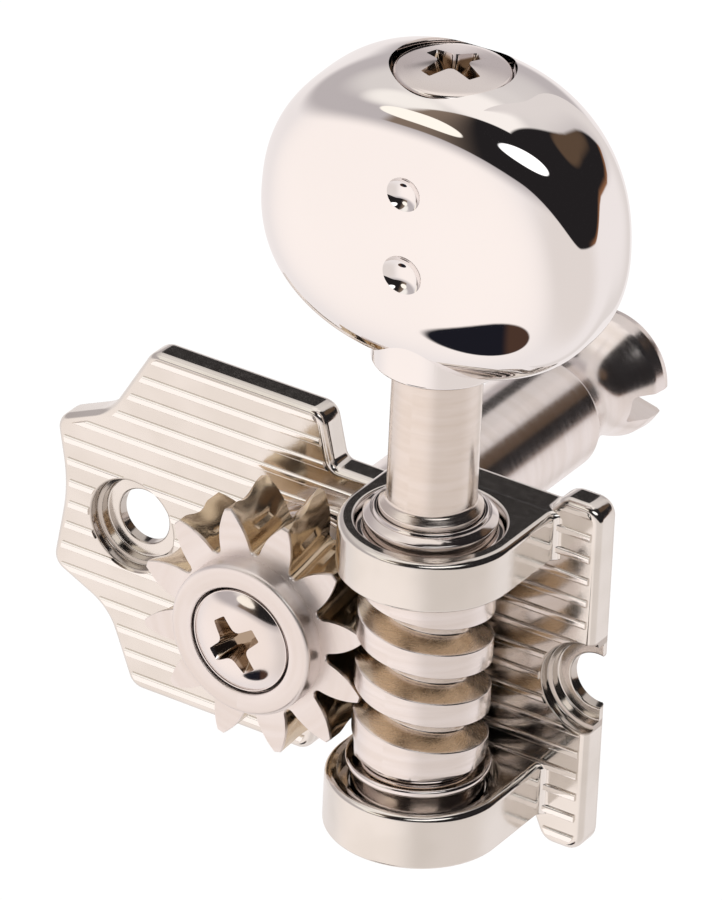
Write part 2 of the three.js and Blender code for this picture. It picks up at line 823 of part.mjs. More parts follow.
function button() {
  const neck = turnedOnWormAxis(drum(neckRadius, stemTop + seatGap, bodyMiddle));
  const bore = turnedOnWormAxis(drum(driveRadius + seatGap, stemTop - overrun, driveTop + seatGap));
  const keys = [-1, 1].map((side) => {
    const block = new THREE.BoxGeometry(driveRadius * 3, driveRadius, driveLength + 2 * overrun);
    block.translate(
      wormX,
      wormY + side * (driveFlat + seatGap + driveRadius / 2),
      stemTop + driveLength / 2,
    );
    return solidOf(block);
  });
  const doubleD = bore.subtract(keys[0]).subtract(keys[1]);
  const screwHole = turnedOnWormAxis(
    drum(buttonScrewShank + looseGap, driveTop - overrun, buttonTop),
    SMALL_SIDES,
  );
  const recess = turnedOnWormAxis(drum(buttonRecessRadius, recessFloor, buttonTop + overrun));
  let body = buttonBody().add(neck).subtract(doubleD).subtract(screwHole).subtract(recess);
  const ball = (dimpleRadius * dimpleRadius + dimpleDepth * dimpleDepth) / (2 * dimpleDepth);
  for (const side of [-1, 1]) {
    const dimple = new THREE.SphereGeometry(ball, 12, 8);
    dimple.translate(0, dimpleDepth - ball - buttonThickness / 2, 0);
    dimple.rotateZ(buttonTurn);
    dimple.translate(wormX, wormY, bodyMiddle + dimpleRise + (side * dimpleSpacing) / 2);
    body = body.subtract(solidOf(dimple));
  }
  return body;
}

// Post

function stringPost() {
  const waistSpan = postLength - postRim - postShoulder;
  const waistSteps = 7;
  const waist = Array.from({ length: waistSteps + 1 }, (_, i) => {
    const share = i / waistSteps;
    const dip = Math.sin(Math.PI * Math.min(1, share * 1.15)) * (postRadius - postWaistRadius);
    const flare = (postFlareRadius - postRadius) * share * share;
    return [postRadius - dip + flare, postShoulder + waistSpan * share];
  });
  const body = turnedOnPostAxis(
    [
      [0, hubBack],
      [postJournalRadius, hubBack],
      [postJournalRadius, seatGap],
      [postRadius, seatGap],
      ...waist,
      [postFlareRadius, postLength - postRim / 2],
      [postFlareRadius - postRim / 2, postLength],
      [0, postLength],
    ],
    SMALL_SIDES + 8,
  );
  const shank = squareBar(postSquare, squareFront + seatGap, 0);
  const tapped = turnedOnPostAxis(
    drum(wheelScrewShank + seatGap, bossFront, squareFront + wheelScrewLength + seatGap),
    SMALL_SIDES,
  );
  const slotBlock = new THREE.BoxGeometry(postFlareRadius * 3, postSlotDepth + overrun, postSlotWidth);
  slotBlock.translate(0, postLength - postSlotDepth + (postSlotDepth + overrun) / 2, 0);
  slotBlock.rotateY(postSlotTurn);
  return body.add(shank).subtract(tapped).subtract(solidOf(slotBlock));
}

// Assembly

const plating = (colour, roughness) =>
  new THREE.MeshStandardMaterial({ color: colour, roughness, metalness: 1 });
const satinNickel = plating(0xd6cfc9, 0.32);
const brightNickel = plating(0xe4dedb, 0.12);
const mirrorNickel = plating(0xebe6e4, 0.05);
const brushedNickel = plating(0xcdc5bf, 0.38);

const machine = new THREE.Group();
machine.add(meshOf("base_plate", basePlate(), satinNickel));
machine.add(meshOf("upper_bush", upperBush(), brightNickel));
machine.add(meshOf("lower_bush", lowerBush(), brightNickel));
machine.add(meshOf("wheel_washer", wheelWasher(), brightNickel));
machine.add(meshOf("worm_shaft", wormShaft(), brushedNickel));
machine.add(meshOf("worm_thrust_washer", thrustWasher(), brightNickel));
machine.add(meshOf("button", button(), mirrorNickel));
machine.add(meshOf("button_screw", buttonScrew(), brightNickel));
machine.add(meshOf("worm_wheel", wormWheel(), satinNickel));
machine.add(meshOf("wheel_screw", wheelScrew(), brightNickel));
machine.add(meshOf("string_post", stringPost(), brushedNickel));

export default machine;
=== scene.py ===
"""A guitar tuning machine: a ribbed plate with two lugs, a worm on the button's shaft, a twelve-tooth
wheel and a slotted string post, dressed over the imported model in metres."""

import bpy
import bmesh
import json
import math
import numpy as np
from mathutils import Matrix, Vector


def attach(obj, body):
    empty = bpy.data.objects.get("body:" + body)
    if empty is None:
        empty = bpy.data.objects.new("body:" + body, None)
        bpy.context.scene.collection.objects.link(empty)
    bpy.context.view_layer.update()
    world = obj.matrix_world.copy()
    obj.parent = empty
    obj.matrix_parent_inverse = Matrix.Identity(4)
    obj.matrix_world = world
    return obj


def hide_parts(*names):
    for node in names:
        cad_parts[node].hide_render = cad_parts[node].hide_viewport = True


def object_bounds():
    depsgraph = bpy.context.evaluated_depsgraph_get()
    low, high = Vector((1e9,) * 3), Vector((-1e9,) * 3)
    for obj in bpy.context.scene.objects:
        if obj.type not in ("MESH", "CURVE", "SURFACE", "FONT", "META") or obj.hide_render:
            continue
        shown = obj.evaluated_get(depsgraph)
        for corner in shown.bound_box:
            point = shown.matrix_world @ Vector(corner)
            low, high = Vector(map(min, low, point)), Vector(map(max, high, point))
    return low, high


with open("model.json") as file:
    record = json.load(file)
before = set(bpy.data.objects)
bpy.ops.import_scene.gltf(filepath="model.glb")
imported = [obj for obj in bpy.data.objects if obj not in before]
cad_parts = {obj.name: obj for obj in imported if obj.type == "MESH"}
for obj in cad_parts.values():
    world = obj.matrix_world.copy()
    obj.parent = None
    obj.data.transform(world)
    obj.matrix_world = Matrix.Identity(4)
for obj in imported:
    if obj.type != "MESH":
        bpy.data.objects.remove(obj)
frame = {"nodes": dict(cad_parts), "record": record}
cad_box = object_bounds()

MM = 0.001
TAU = 2 * math.pi

# Sizes shared with the solids, in millimetres. The worm's axis stands at WORM_X and WORM_Y, and the
# post's axis runs back along +Y through zero.
TEETH = 12
PITCH = 2.8
WHEEL_PITCH_R = TEETH * PITCH / TAU
WORM_OUTER_R, WORM_PITCH_R, WORM_ROOT_R = 3.42, 3.35, 2.18
THREAD_CREST = 1.32
FLANK = math.radians(19.5)
BACKLASH = 0.18
TIP_CLEARANCE = 0.15
RUNNING_GAP, SEAT_GAP = 0.06, 0.08
PLATE_FRONT = -1.8
WORM_X = WHEEL_PITCH_R + WORM_PITCH_R
WORM_Y = PLATE_FRONT - 4.27
WORM_LOW, WORM_HIGH = -4.5, 5.55
WHEEL_PHASE = math.radians(18.3)
WHEEL_TIP_R, WHEEL_ROOT_R = 6.62, 4.35
WHEEL_FACE = 4.3
WHEEL_FRONT, WHEEL_BACK = WORM_Y - WHEEL_FACE / 2, WORM_Y + WHEEL_FACE / 2
BOSS_FRONT = WHEEL_FRONT - 1.17
SOLID_RIB, HUB_WASHER_T = 0.2, 0.5
HUB_BACK = PLATE_FRONT - SOLID_RIB - HUB_WASHER_T - 2 * SEAT_GAP
WHEEL_SCREW_TOP = BOSS_FRONT - 0.55
STEM_TOP = 17.35
BUTTON_W, BUTTON_H, BUTTON_T = 18.55, 16.1, 8.6
BUTTON_TURN, BUTTON_TAPER, BUTTON_THICKENING = 0.06, -0.064, 0.11
OVAL_POWER, FACE_POWER = 2.27, 3.2
BODY_BOTTOM = STEM_TOP + 0.25
BODY_MIDDLE = BODY_BOTTOM + BUTTON_H / 2
RECESS_FLOOR = BODY_BOTTOM + BUTTON_H - 1.5
DRIVE_TOP = RECESS_FLOOR - 2.85
BUTTON_SCREW_TOP = RECESS_FLOOR + 1.5
# Each dimple's radius, depth and height over the button's middle.
DIMPLES = ((0.9, 0.42, 2.7), (1.05, 0.5, -1.8))
# The journals of the stem and the post, the foot under the worm, and their bores.
JOURNAL_R, FOOT_R = 2.6, 2.0
JOURNAL_BORE_R, FOOT_BORE_R = JOURNAL_R + RUNNING_GAP, FOOT_R + RUNNING_GAP
UPPER_BUSH_R, LOWER_BUSH_R = 3.67, 3.34
SEAT_R, SEAT_STEP_R, SEAT_HOLE_R = 2.51, 2.25, 1.5
PLATE_RIGHT = WORM_X + 7.1
HOLE_X, NOTCH_X, HOLE_Z = -11.585, PLATE_RIGHT - 0.3, -0.88
# Each lug's radius, low face and high face.
UPPER_LUG = (4.57, 5.8, 8.52)
LOWER_LUG = (4.66, -8.85, -5.85)
RIBS, RIB_PITCH, TOP_RIB_Z = 16, 1.241, 8.95


def new_object(name, data):
    """A new object in the scene."""
    made = bpy.data.objects.new(name, data)
    bpy.context.scene.collection.objects.link(made)
    return made


# Camera

CAMERA_PLACE = (201.48, -323.95, 222.24)
CAMERA_RIGHT = (0.8375, 0.5452, 0.0395)
CAMERA_UP = (-0.2974, 0.3939, 0.8697)
CAMERA_BACK = (0.4585, -0.7401, 0.4919)
LENS_MM = 351.0
SENSOR_MM = 36.0


def add_camera():
    """The camera of the photograph: right, up and back are the columns of its turn."""
    data = bpy.data.cameras.new("photo_camera")
    data.lens = LENS_MM
    data.sensor_width = SENSOR_MM
    data.clip_start = 0.01
    data.clip_end = 20.0
    camera = new_object("photo_camera", data)
    turn = Matrix((CAMERA_RIGHT, CAMERA_UP, CAMERA_BACK)).transposed().to_4x4()
    camera.matrix_world = Matrix.Translation(Vector(CAMERA_PLACE) * MM) @ turn
    bpy.context.scene.camera = camera


# Shader helpers


class Tree:
    """A node tree with short calls. Every input takes a plain value or another node's output."""

    def __init__(self, tree):
        self.tree = tree

    def put(self, value, socket):
        if isinstance(value, bpy.types.NodeSocket):
            self.tree.links.new(value, socket)
        else:
            socket.default_value = value

    def add(self, kind, inputs=None, **settings):
        node = self.tree.nodes.new(kind)
        for key, value in settings.items():
            setattr(node, key, value)
        for key, value in (inputs or {}).items():
            self.put(value, node.inputs[key])
        return node

    def math(self, operation, a, b=0.0, clamp=False):
        return self.add("ShaderNodeMath", {0: a, 1: b}, operation=operation, use_clamp=clamp).outputs[0]

    def times(self, a, b):
        return self.math("MULTIPLY", a, b)

    def plus(self, a, b):
        return self.math("ADD", a, b)

    def minus(self, a, b):
        return self.math("SUBTRACT", a, b)

    def most(self, a, b):
        return self.math("MAXIMUM", a, b)

    def split(self, vector):
        return self.add("ShaderNodeSeparateXYZ", {"Vector": vector}).outputs

    def noise(self, place, scale, detail, roughness=0.5):
        inputs = {"Vector": place, "Scale": scale, "Detail": detail, "Roughness": roughness}
        return self.add("ShaderNodeTexNoise", inputs).outputs["Fac"]

    def ramp(self, value, low, high, to_low=0.0, to_high=1.0):
        """A smooth step between two values, the first of which may be the larger one."""
        inputs = {"Value": value, "From Min": low, "From Max": high, "To Min": to_low, "To Max": to_high}
        node = self.add("ShaderNodeMapRange", inputs, interpolation_type="SMOOTHSTEP")
        return node.outputs["Result"]

    def ramp_mm(self, value, low, high, *results):
        """The same for a length, between two lengths in millimetres."""
        return self.ramp(value, low * MM, high * MM, *results)

    def mix(self, factor, a, b):
        """The colour a where the factor is zero and b where it is one."""
        return self.add("ShaderNodeMix", {0: factor, 6: a, 7: b}, data_type="RGBA").outputs[2]

    def blend(self, factor, a, b):
        """The same for two shaders."""
        return self.add("ShaderNodeMixShader", {0: factor, 1: a, 2: b}).outputs[0]


def new_group(name, inputs, outputs):
    """An empty shader node group with named inputs (kind, name, value) and outputs (kind, name)."""
    group = bpy.data.node_groups.new(name, "ShaderNodeTree")
    for kind, label, value in inputs:
        socket = group.interface.new_socket(label, in_out="INPUT", socket_type="NodeSocket" + kind)
        if value is not None:
            socket.default_value = value
    for kind, label in outputs:
        group.interface.new_socket(label, in_out="OUTPUT", socket_type="NodeSocket" + kind)
    inside, out = group.nodes.new("NodeGroupInput"), group.nodes.new("NodeGroupOutput")
    return group, Tree(group), inside.outputs, out.inputs


HEIGHT_AND_MASK = [("Float", "Height"), ("Float", "Mask")]


def build_grain_group():
    """Fine grain of plated metal: two layers of noise, one coarse and one fine, as height and mask."""
    group, t, inside, out = new_group(
        "plated_grain",
        [("Vector", "Place", None), ("Float", "Scale", 2500.0), ("Float", "Coarse Share", 0.35)],
        HEIGHT_AND_MASK,
    )
    place, scale, share = inside["Place"], inside["Scale"], inside["Coarse Share"]
    fine = t.noise(place, scale, 3.0, 0.6)
    coarse = t.noise(place, t.times(scale, 0.12), 2.0)
    t.put(t.plus(t.times(fine, t.minus(1.0, share)), t.times(coarse, share)), out["Height"])
    t.put(t.ramp(coarse, 0.35, 0.65), out["Mask"])
    return group


def build_turned_group():
    """Lathe marks: noise that depends on the place along the axis and only slowly on the angle, so it
    draws fine rings. Along is in metres, Round is an angle and Lines is the number of rings a metre."""
    group, t, inside, out = new_group(
        "turned_marks",
        [("Float", "Along", 0.0), ("Float", "Round", 0.0), ("Float", "Lines", 9000.0)],
        HEIGHT_AND_MASK,
    )
    along, round_turn = t.times(inside["Along"], inside["Lines"]), t.times(inside["Round"], 2.5)
    place = t.add("ShaderNodeCombineXYZ", {"X": along, "Y": round_turn}).outputs["Vector"]
    t.put(t.noise(place, 1.0, 3.0, 0.7), out["Height"])
    t.put(t.ramp(t.noise(place, 0.17, 1.0), 0.3, 0.7), out["Mask"])
    return group


def build_speck_group():
    """Dark specks in cast metal: the cells of a noise that pass a threshold."""
    group, t, inside, out = new_group(
        "cast_specks",
        [("Vector", "Place", None), ("Float", "Scale", 1800.0), ("Float", "Share", 0.1)],
        [("Float", "Mask")],
    )
    level = t.minus(0.86, t.times(inside["Share"], 0.6))
    excess = t.minus(t.noise(inside["Place"], inside["Scale"], 4.0, 0.65), level)
    t.put(t.math("MULTIPLY", excess, 14.0, clamp=True), out["Mask"])
    return group


GRAIN = build_grain_group()
TURNED = build_turned_group()
SPECKS = build_speck_group()


# Materials

# A lighter and a warmer tone of each plating.
NICKEL = (0.85, 0.795, 0.775, 1.0), (0.80, 0.735, 0.70, 1.0)
PLATE_NICKEL = (0.81, 0.77, 0.73, 1.0), (0.76, 0.72, 0.675, 1.0)
CHROME = (0.9, 0.87, 0.86, 1.0), (0.885, 0.855, 0.845, 1.0)
# The near white of the painted highlight on the ribs.
RIB_PAINTED_HIGHLIGHT = (0.97, 0.94, 0.91, 1.0)
# The dark of the cast specks, and of the painted shade in the screw seats.
NICKEL_SPECKS_AND_SHADE = (0.34, 0.29, 0.25, 1.0)
NICKEL_STAINED = (0.64, 0.52, 0.38, 1.0)
# The darker tone deep inside the screws' cross recesses.
CROSS_RECESS_DARK = (0.40, 0.31, 0.23, 1.0)

# A place on each axis, in metres, and the direction that it runs in.
WORM_AXIS = ((WORM_X * MM, WORM_Y * MM, 0.0), "Z")
POST_AXIS = ((0.0, 0.0, 0.0), "Y")


def new_material(name):
    """A material, its tree and its Principled shader."""
    material = bpy.data.materials.new(name)
    material.use_nodes = True
    t = Tree(material.node_tree)
    return material, t, next(n for n in t.tree.nodes if n.type == "BSDF_PRINCIPLED")


def new_metal(name):
    """The same for bare metal, with the Object coordinates."""
    material, t, shader = new_material(name)
    t.put(1.0, shader.inputs["Metallic"])
    return material, t, shader, t.add("ShaderNodeTexCoord").outputs["Object"]


def round_axis(t, place, centre, along):
    """Metres along an axis, the angle round it and metres away from it."""
    moved = t.add("ShaderNodeMapping", {"Vector": place, "Location": tuple(-c for c in centre)})
    split = t.split(moved.outputs["Vector"])
    u, v = (split[a] for a in "XYZ" if a != along)
    square = t.plus(t.math("POWER", u, 2.0), t.math("POWER", v, 2.0))
    return split[along], t.math("ARCTAN2", u, v), t.math("SQRT", square)


def metal_finish(t, shader, tone, rough, height, depth):
    """Gives the shader its tone, its roughness and a height, which is a Bump in metres."""
    bump = t.add("ShaderNodeBump", {"Height": height, "Strength": 1.0, "Distance": depth})
    t.put(tone, shader.inputs["Base Color"])
    t.put(rough, shader.inputs["Roughness"])
    t.put(bump.outputs["Normal"], shader.inputs["Normal"])


def seat_painted_shade(t, place):
    """A mask of painted shade on the walls of the two screw seats and in their holes."""
    masks = []
    for x in (HOLE_X, NOTCH_X):
        _, _, away = round_axis(t, place, (x * MM, 0.0, HOLE_Z * MM), "Y")
        inside = t.ramp_mm(away, SEAT_R + 0.15, SEAT_R + 0.04)
        walls = t.times(inside, t.ramp_mm(away, SEAT_STEP_R - 0.1, SEAT_STEP_R + 0.05))
        hole = t.ramp_mm(away, SEAT_HOLE_R + 0.12, SEAT_HOLE_R + 0.02, 0.0, 0.7)
        masks.append(t.most(walls, hole))
    return t.times(t.most(*masks), 0.6)


def plate_painted_light(t, place, tone):
    """The plate's tone, with a painted highlight where the ribs stand proud of its face, and painted
    shade in the screw seats.
    """
    out = t.split(place)["Y"]
    proud = t.ramp_mm(out, PLATE_FRONT - 0.04, PLATE_FRONT - 0.06)
    low = t.ramp_mm(out, PLATE_FRONT - 0.24, PLATE_FRONT - 0.2)
    # Painted highlight: the ribs' band is mixed towards near white.
    tone = t.mix(t.times(proud, low), tone, RIB_PAINTED_HIGHLIGHT)
    # Painted shade on the walls of the screw seats.
    return t.mix(seat_painted_shade(t, place), tone, NICKEL_SPECKS_AND_SHADE)


def cross_shade(t, place, tone):
    """The screws' tone, darker inside their cross recesses. Each mask starts deeper under the
    crown than the dome falls within the mask's radius."""
    masks = []
    for axis, start, end in (
        (POST_AXIS, WHEEL_SCREW_TOP + 0.2, WHEEL_SCREW_TOP + 0.32),
        (WORM_AXIS, BUTTON_SCREW_TOP - 0.36, BUTTON_SCREW_TOP - 0.48),
    ):
        height, _, away = round_axis(t, place, *axis)
        masks.append(t.times(t.ramp_mm(away, 2.0, 1.9), t.ramp_mm(height, start, end)))
    return t.mix(t.most(*masks), tone, CROSS_RECESS_DARK)


def grained_metal(name, tones, rough, scale, depth, speck=0.0, shade=None):
    """Plated metal with fine grain: a mask blends two tones, and the grain lifts the roughness from
    the first value to the second. Speck is the share of dark specks."""
    material, t, shader, place = new_metal(name)
    grain = t.add("ShaderNodeGroup", {"Place": place, "Scale": scale}, node_tree=GRAIN)
    height = grain.outputs["Height"]
    tone = t.mix(grain.outputs["Mask"], *tones)
    if speck:
        specks = t.add("ShaderNodeGroup", {"Place": place, "Share": speck}, node_tree=SPECKS)
        tone = t.mix(t.times(specks.outputs["Mask"], 0.6), tone, NICKEL_SPECKS_AND_SHADE)
    if shade:
        tone = shade(t, place, tone)
    metal_finish(t, shader, tone, t.ramp(height, 0.3, 0.7, *rough), height, depth)
    return material


def worm_stain(t, along, away):
    """One mask for the old grease on the worm's flanks, from just inside the crest, and a little in
    the root, and for the darker tone of the brushed stem."""
    flank = t.ramp_mm(away, 3.4, 3.25)
    root = t.ramp_mm(away, 2.2, 2.5, 0.25, 0.8)
    worm = t.times(t.times(flank, root), t.ramp_mm(along, WORM_HIGH, WORM_HIGH - 0.1))
    return t.plus(worm, t.ramp_mm(along, 9.0, 9.4, 0.0, 0.25))


def flank_stain(t, along, away):
    """Old grease between the wheel's teeth: a mask outside the boss and behind the front face."""
    outside = t.ramp_mm(away, 4.15, 4.3)
    return t.times(outside, t.ramp_mm(along, WHEEL_FRONT + 0.02, WHEEL_FRONT + 0.3))


def turned_metal(name, axis, tones, rough, lines, depth, by_radius=False, stain=None, stained_rough=1.0):
    """Turned metal: lathe marks as rings along the axis, or on a face as rings of one radius. They
    blend two tones and two roughnesses. A stain has its own tone and a factor on the roughness."""
    material, t, shader, place = new_metal(name)
    axial, angle, away = round_axis(t, place, *axis)
    inputs = {"Along": t.plus(axial, away) if by_radius else axial, "Round": angle, "Lines": lines}
    marks = t.add("ShaderNodeGroup", inputs, node_tree=TURNED)
    height = marks.outputs["Height"]
    tone = t.mix(marks.outputs["Mask"], *tones)
    roughness = t.ramp(height, 0.3, 0.7, *rough)
    if stain:
        mask = stain(t, axial, away)
        tone = t.mix(mask, tone, NICKEL_STAINED)
        roughness = t.times(roughness, t.ramp(mask, 0.3, 1.0, 1.0, stained_rough))
    metal_finish(t, shader, tone, roughness, height, depth)
    return material


# The material of each slot.
MATERIALS = {
    "plate_nickel": grained_metal(
        "satin_plate_nickel", PLATE_NICKEL, (0.1, 0.16), 2600.0, 3e-6, 0.05, plate_painted_light
    ),
    "bush_nickel": turned_metal("bright_bush_nickel", WORM_AXIS, NICKEL, (0.08, 0.13), 9000.0, 5e-7),
    "shaft_nickel": turned_metal(
        "brushed_shaft_nickel", WORM_AXIS, NICKEL, (0.14, 0.26), 14000.0, 2e-6, False, worm_stain, 1.3
    ),
    "button_chrome": grained_metal("mirror_button_chrome", CHROME, (0.015, 0.025), 900.0, 2e-7),
    "screw_nickel": grained_metal(
        "bright_screw_nickel", NICKEL, (0.07, 0.11), 1800.0, 5e-7, 0.0, cross_shade
    ),
    "wheel_nickel": turned_metal(
        "satin_wheel_nickel", POST_AXIS, NICKEL, (0.3, 0.38), 9000.0, 8e-7, True, flank_stain, 0.5
    ),
    "post_nickel": turned_metal("bright_post_nickel", POST_AXIS, NICKEL, (0.16, 0.22), 7000.0, 5e-7),
}


# Shape helpers


def spin(u, v, angle):
    """The pair (u, v) turned by an angle in its plane."""
    c, d = np.cos(angle), np.sin(angle)
    return c * u - d * v, d * u + c * v


def about(axis, radius, angle, height):
    """Places about an axis: "worm" has its heights along +Z and "post" along +Y."""
    u, v = radius * np.cos(angle), radius * np.sin(angle)
    places = (WORM_X + u, WORM_Y + v, height) if axis == "worm" else (u, height, v)
    return np.stack(np.broadcast_arrays(*places), -1)


def rounded_path(corners, steps=5):
    """A path with rounded corners. Each corner is (u, v, radius): an arc of that radius touches both
    sides of the corner, and a corner of radius 0 stays sharp. The first and last points stay."""
    c = np.asarray(corners, float)
    path = [c[0, :2]]
    for before, here, after in zip(c[:-2], c[1:-1], c[2:]):
        a = before[:2] - here[:2]
        b = after[:2] - here[:2]
        la, lb = np.linalg.norm(a), np.linalg.norm(b)
        a, b = a / la, b / lb
        half = math.acos(float(np.clip(a @ b, -1, 1))) / 2
        if here[2] <= 0 or half > math.pi / 2 - 1e-3:
            path.append(here[:2])
            continue
        reach = min(here[2] / math.tan(half), 0.499 * la, 0.499 * lb)
        radius = reach * math.tan(half)
        bisector = (a + b) / np.linalg.norm(a + b)
        centre = here[:2] + bisector * radius / math.sin(half)
        start = here[:2] + a * reach - centre
        sign = -1.0 if a[0] * b[1] - a[1] * b[0] > 0 else 1.0
        angle = sign * (math.pi - 2 * half) * np.linspace(0, 1, steps + 1)
        path.extend(np.stack(spin(start[0], start[1], angle), 1) + centre)
    path.append(c[-1, :2])
    return np.asarray(path)


def grid_faces(rows, columns, wrap_rows=False, wrap_columns=False):
    """Quads between neighbouring rows and columns of a grid whose points run row by row."""
    r = np.arange(rows if wrap_rows else rows - 1)
    c = np.arange(columns if wrap_columns else columns - 1)
    r0, c0 = np.meshgrid(r, c, indexing="ij")
    r1, c1 = (r0 + 1) % rows, (c0 + 1) % columns
    quads = np.stack([r0 * columns + c0, r0 * columns + c1, r1 * columns + c1, r1 * columns + c0], -1)
    return quads.reshape(-1, 4)


def make_mesh(name, points, faces, merge=2e-4):
    """A mesh in metres from points in millimetres, with doubles merged and every face looking out."""
    mesh = bpy.data.meshes.new(name)
    places = np.asarray(points, float).reshape(-1, 3) * MM
    mesh.from_pydata(places.tolist(), [], [list(f) for f in faces])
    work = bmesh.new()
    work.from_mesh(mesh)
    bmesh.ops.remove_doubles(work, verts=work.verts, dist=merge * MM)
    bmesh.ops.dissolve_degenerate(work, edges=work.edges, dist=merge * MM * 0.5)
    if work.calc_volume(signed=True) < 0:
        bmesh.ops.reverse_faces(work, faces=work.faces)
    work.to_mesh(mesh)
    work.free()
    return mesh


def capped_faces(rows, columns):
    """The faces of a skin over closed rings, with one face on each end ring."""
    caps = [list(range(columns))[::-1], list(range((rows - 1) * columns, rows * columns))]
    return grid_faces(rows, columns, wrap_columns=True).tolist() + caps


def loft_mesh(name, rings):
    """A closed skin over rings of equal count."""
    rings = np.asarray(rings)
    return make_mesh(name, rings, capped_faces(*rings.shape[:2]))


def outline(corners, inset, steps=8):
    """A closed outline of corners (u, v, radius), listed clockwise and moved inwards by an inset.
    Outer corners lose the inset from their radius and inner ones gain it, so the count stays."""
    c = np.asarray(corners, float)
    here, radius = c[:, :2], c[:, 2]

    def unit(d):
        return d / np.linalg.norm(d, axis=1, keepdims=True)

    back, on = unit(np.roll(here, 1, 0) - here), unit(np.roll(here, -1, 0) - here)
    turn = np.array([[0.0, -1.0], [1.0, 0.0]])
    bisector = (on - back) @ turn
    moved = here + bisector * (2 * inset / (bisector**2).sum(1, keepdims=True))
    outer = on[:, 0] * back[:, 1] - on[:, 1] * back[:, 0] < 0
    rounding = np.where(outer, radius - inset, radius + inset)[:, None]
    half = (np.arccos(np.clip((back * on).sum(1), -1, 1)) / 2)[:, None]
    centre = moved + unit(back + on) * rounding / np.sin(half)
    start = moved + back * rounding / np.tan(half) - centre
    angle = np.where(outer, -1.0, 1.0)[:, None] * (math.pi - 2 * half) * np.linspace(0, 1, steps + 1)
    u, v = spin(start[:, :1], start[:, 1:], angle)
    return np.stack([(u + centre[:, :1]).ravel(), (v + centre[:, 1:]).ravel()], 1)


def outline_rings(corners, levels, steps=8, upright=False):
    """Rings of a body from (inset, level) pairs. Its outline lies in the XZ plane, or in the XY plane
    where it stands upright."""
    rings = []
    for inset, level in levels:
        u, v = outline(corners, inset, steps).T
        flat = np.full(len(u), level)
        rings.append(np.stack([u, v, flat] if upright else [u, flat, v], 1))
    return rings


def rounded_levels(radius, face, direction, steps=6):
    """Levels of a rounded edge: a quarter circle from the flat face to the wall."""
    angle = np.linspace(0, math.pi / 2, steps + 1)
    return list(zip(radius * (1 - np.sin(angle)), face + direction * radius * (1 - np.cos(angle))))


def lathe_grid(profile, sides, axis):
    """Rows of one profile point each, turned through a full circle about an axis."""
    profile = np.asarray(profile)
    return about(axis, profile[:, :1], TAU * np.arange(sides) / sides, profile[:, 1:2])


def lathe_mesh(name, corners, sides, axis, steps=5, x=0.0, z=0.0):
    """A turned body. Its profile starts and ends on the axis, and a ring's ends where it starts."""
    profile = rounded_path(corners, steps)
    grid = lathe_grid(profile, sides, axis) + np.array([x, 0.0, z])
    return make_mesh(name, grid, grid_faces(len(profile), sides, wrap_columns=True))


def disc(radius, low, high, rounding=0.0):
    """The profile of a plain disc with a rounded low edge."""
    return [(0, low, 0), (radius, low, rounding), (radius, high, 0), (0, high, 0)]


def applied(holder):
    """The mesh of an object with its modifiers applied. The object goes."""
    graph = bpy.context.evaluated_depsgraph_get()
    result = bpy.data.meshes.new_from_object(holder.evaluated_get(graph))
    result.name = holder.data.name
    bpy.data.objects.remove(holder)
    return result


def shaded(mesh, sharp):
    """The mesh shaded smooth, with edges sharp over an angle and normals weighted by face area, so
    that flat faces look flat beside their roundings."""
    mesh.polygons.foreach_set("use_smooth", np.ones(len(mesh.polygons), bool))
    mesh.set_sharp_from_angle(angle=math.radians(sharp))
    holder = new_object("shade_base", mesh)
    step = holder.modifiers.new("weigh", "WEIGHTED_NORMAL")
    step.keep_sharp = True
    return applied(holder)


def add_piece(name, mesh, body, slot, stands_for, sharp=32.0):
    """A finished piece riding on a body, in its slot's material."""
    mesh = shaded(mesh, sharp)
    mesh.materials.clear()
    mesh.materials.append(MATERIALS[slot])
    piece = new_object(name, mesh)
    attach(piece, body)
    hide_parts(*stands_for)
    return piece


def carve(mesh, cutters, operation="DIFFERENCE"):
    """The mesh after boolean work with each cutter mesh in turn."""
    base = new_object("carve_base", mesh)
    tools = [new_object("carve_tool", cutter) for cutter in cutters]
    for tool in tools:
        step = base.modifiers.new("carve", "BOOLEAN")
        step.operation = operation
        step.solver = "EXACT"
        step.object = tool
    result = applied(base)
    for tool in tools:
        bpy.data.objects.remove(tool)
    return result


# Worm shaft


def thread_half_width(radius):
    """Half the groove's width at a radius."""
    return (PITCH - THREAD_CREST) / 2 - math.tan(FLANK) * (WORM_OUTER_R - radius)


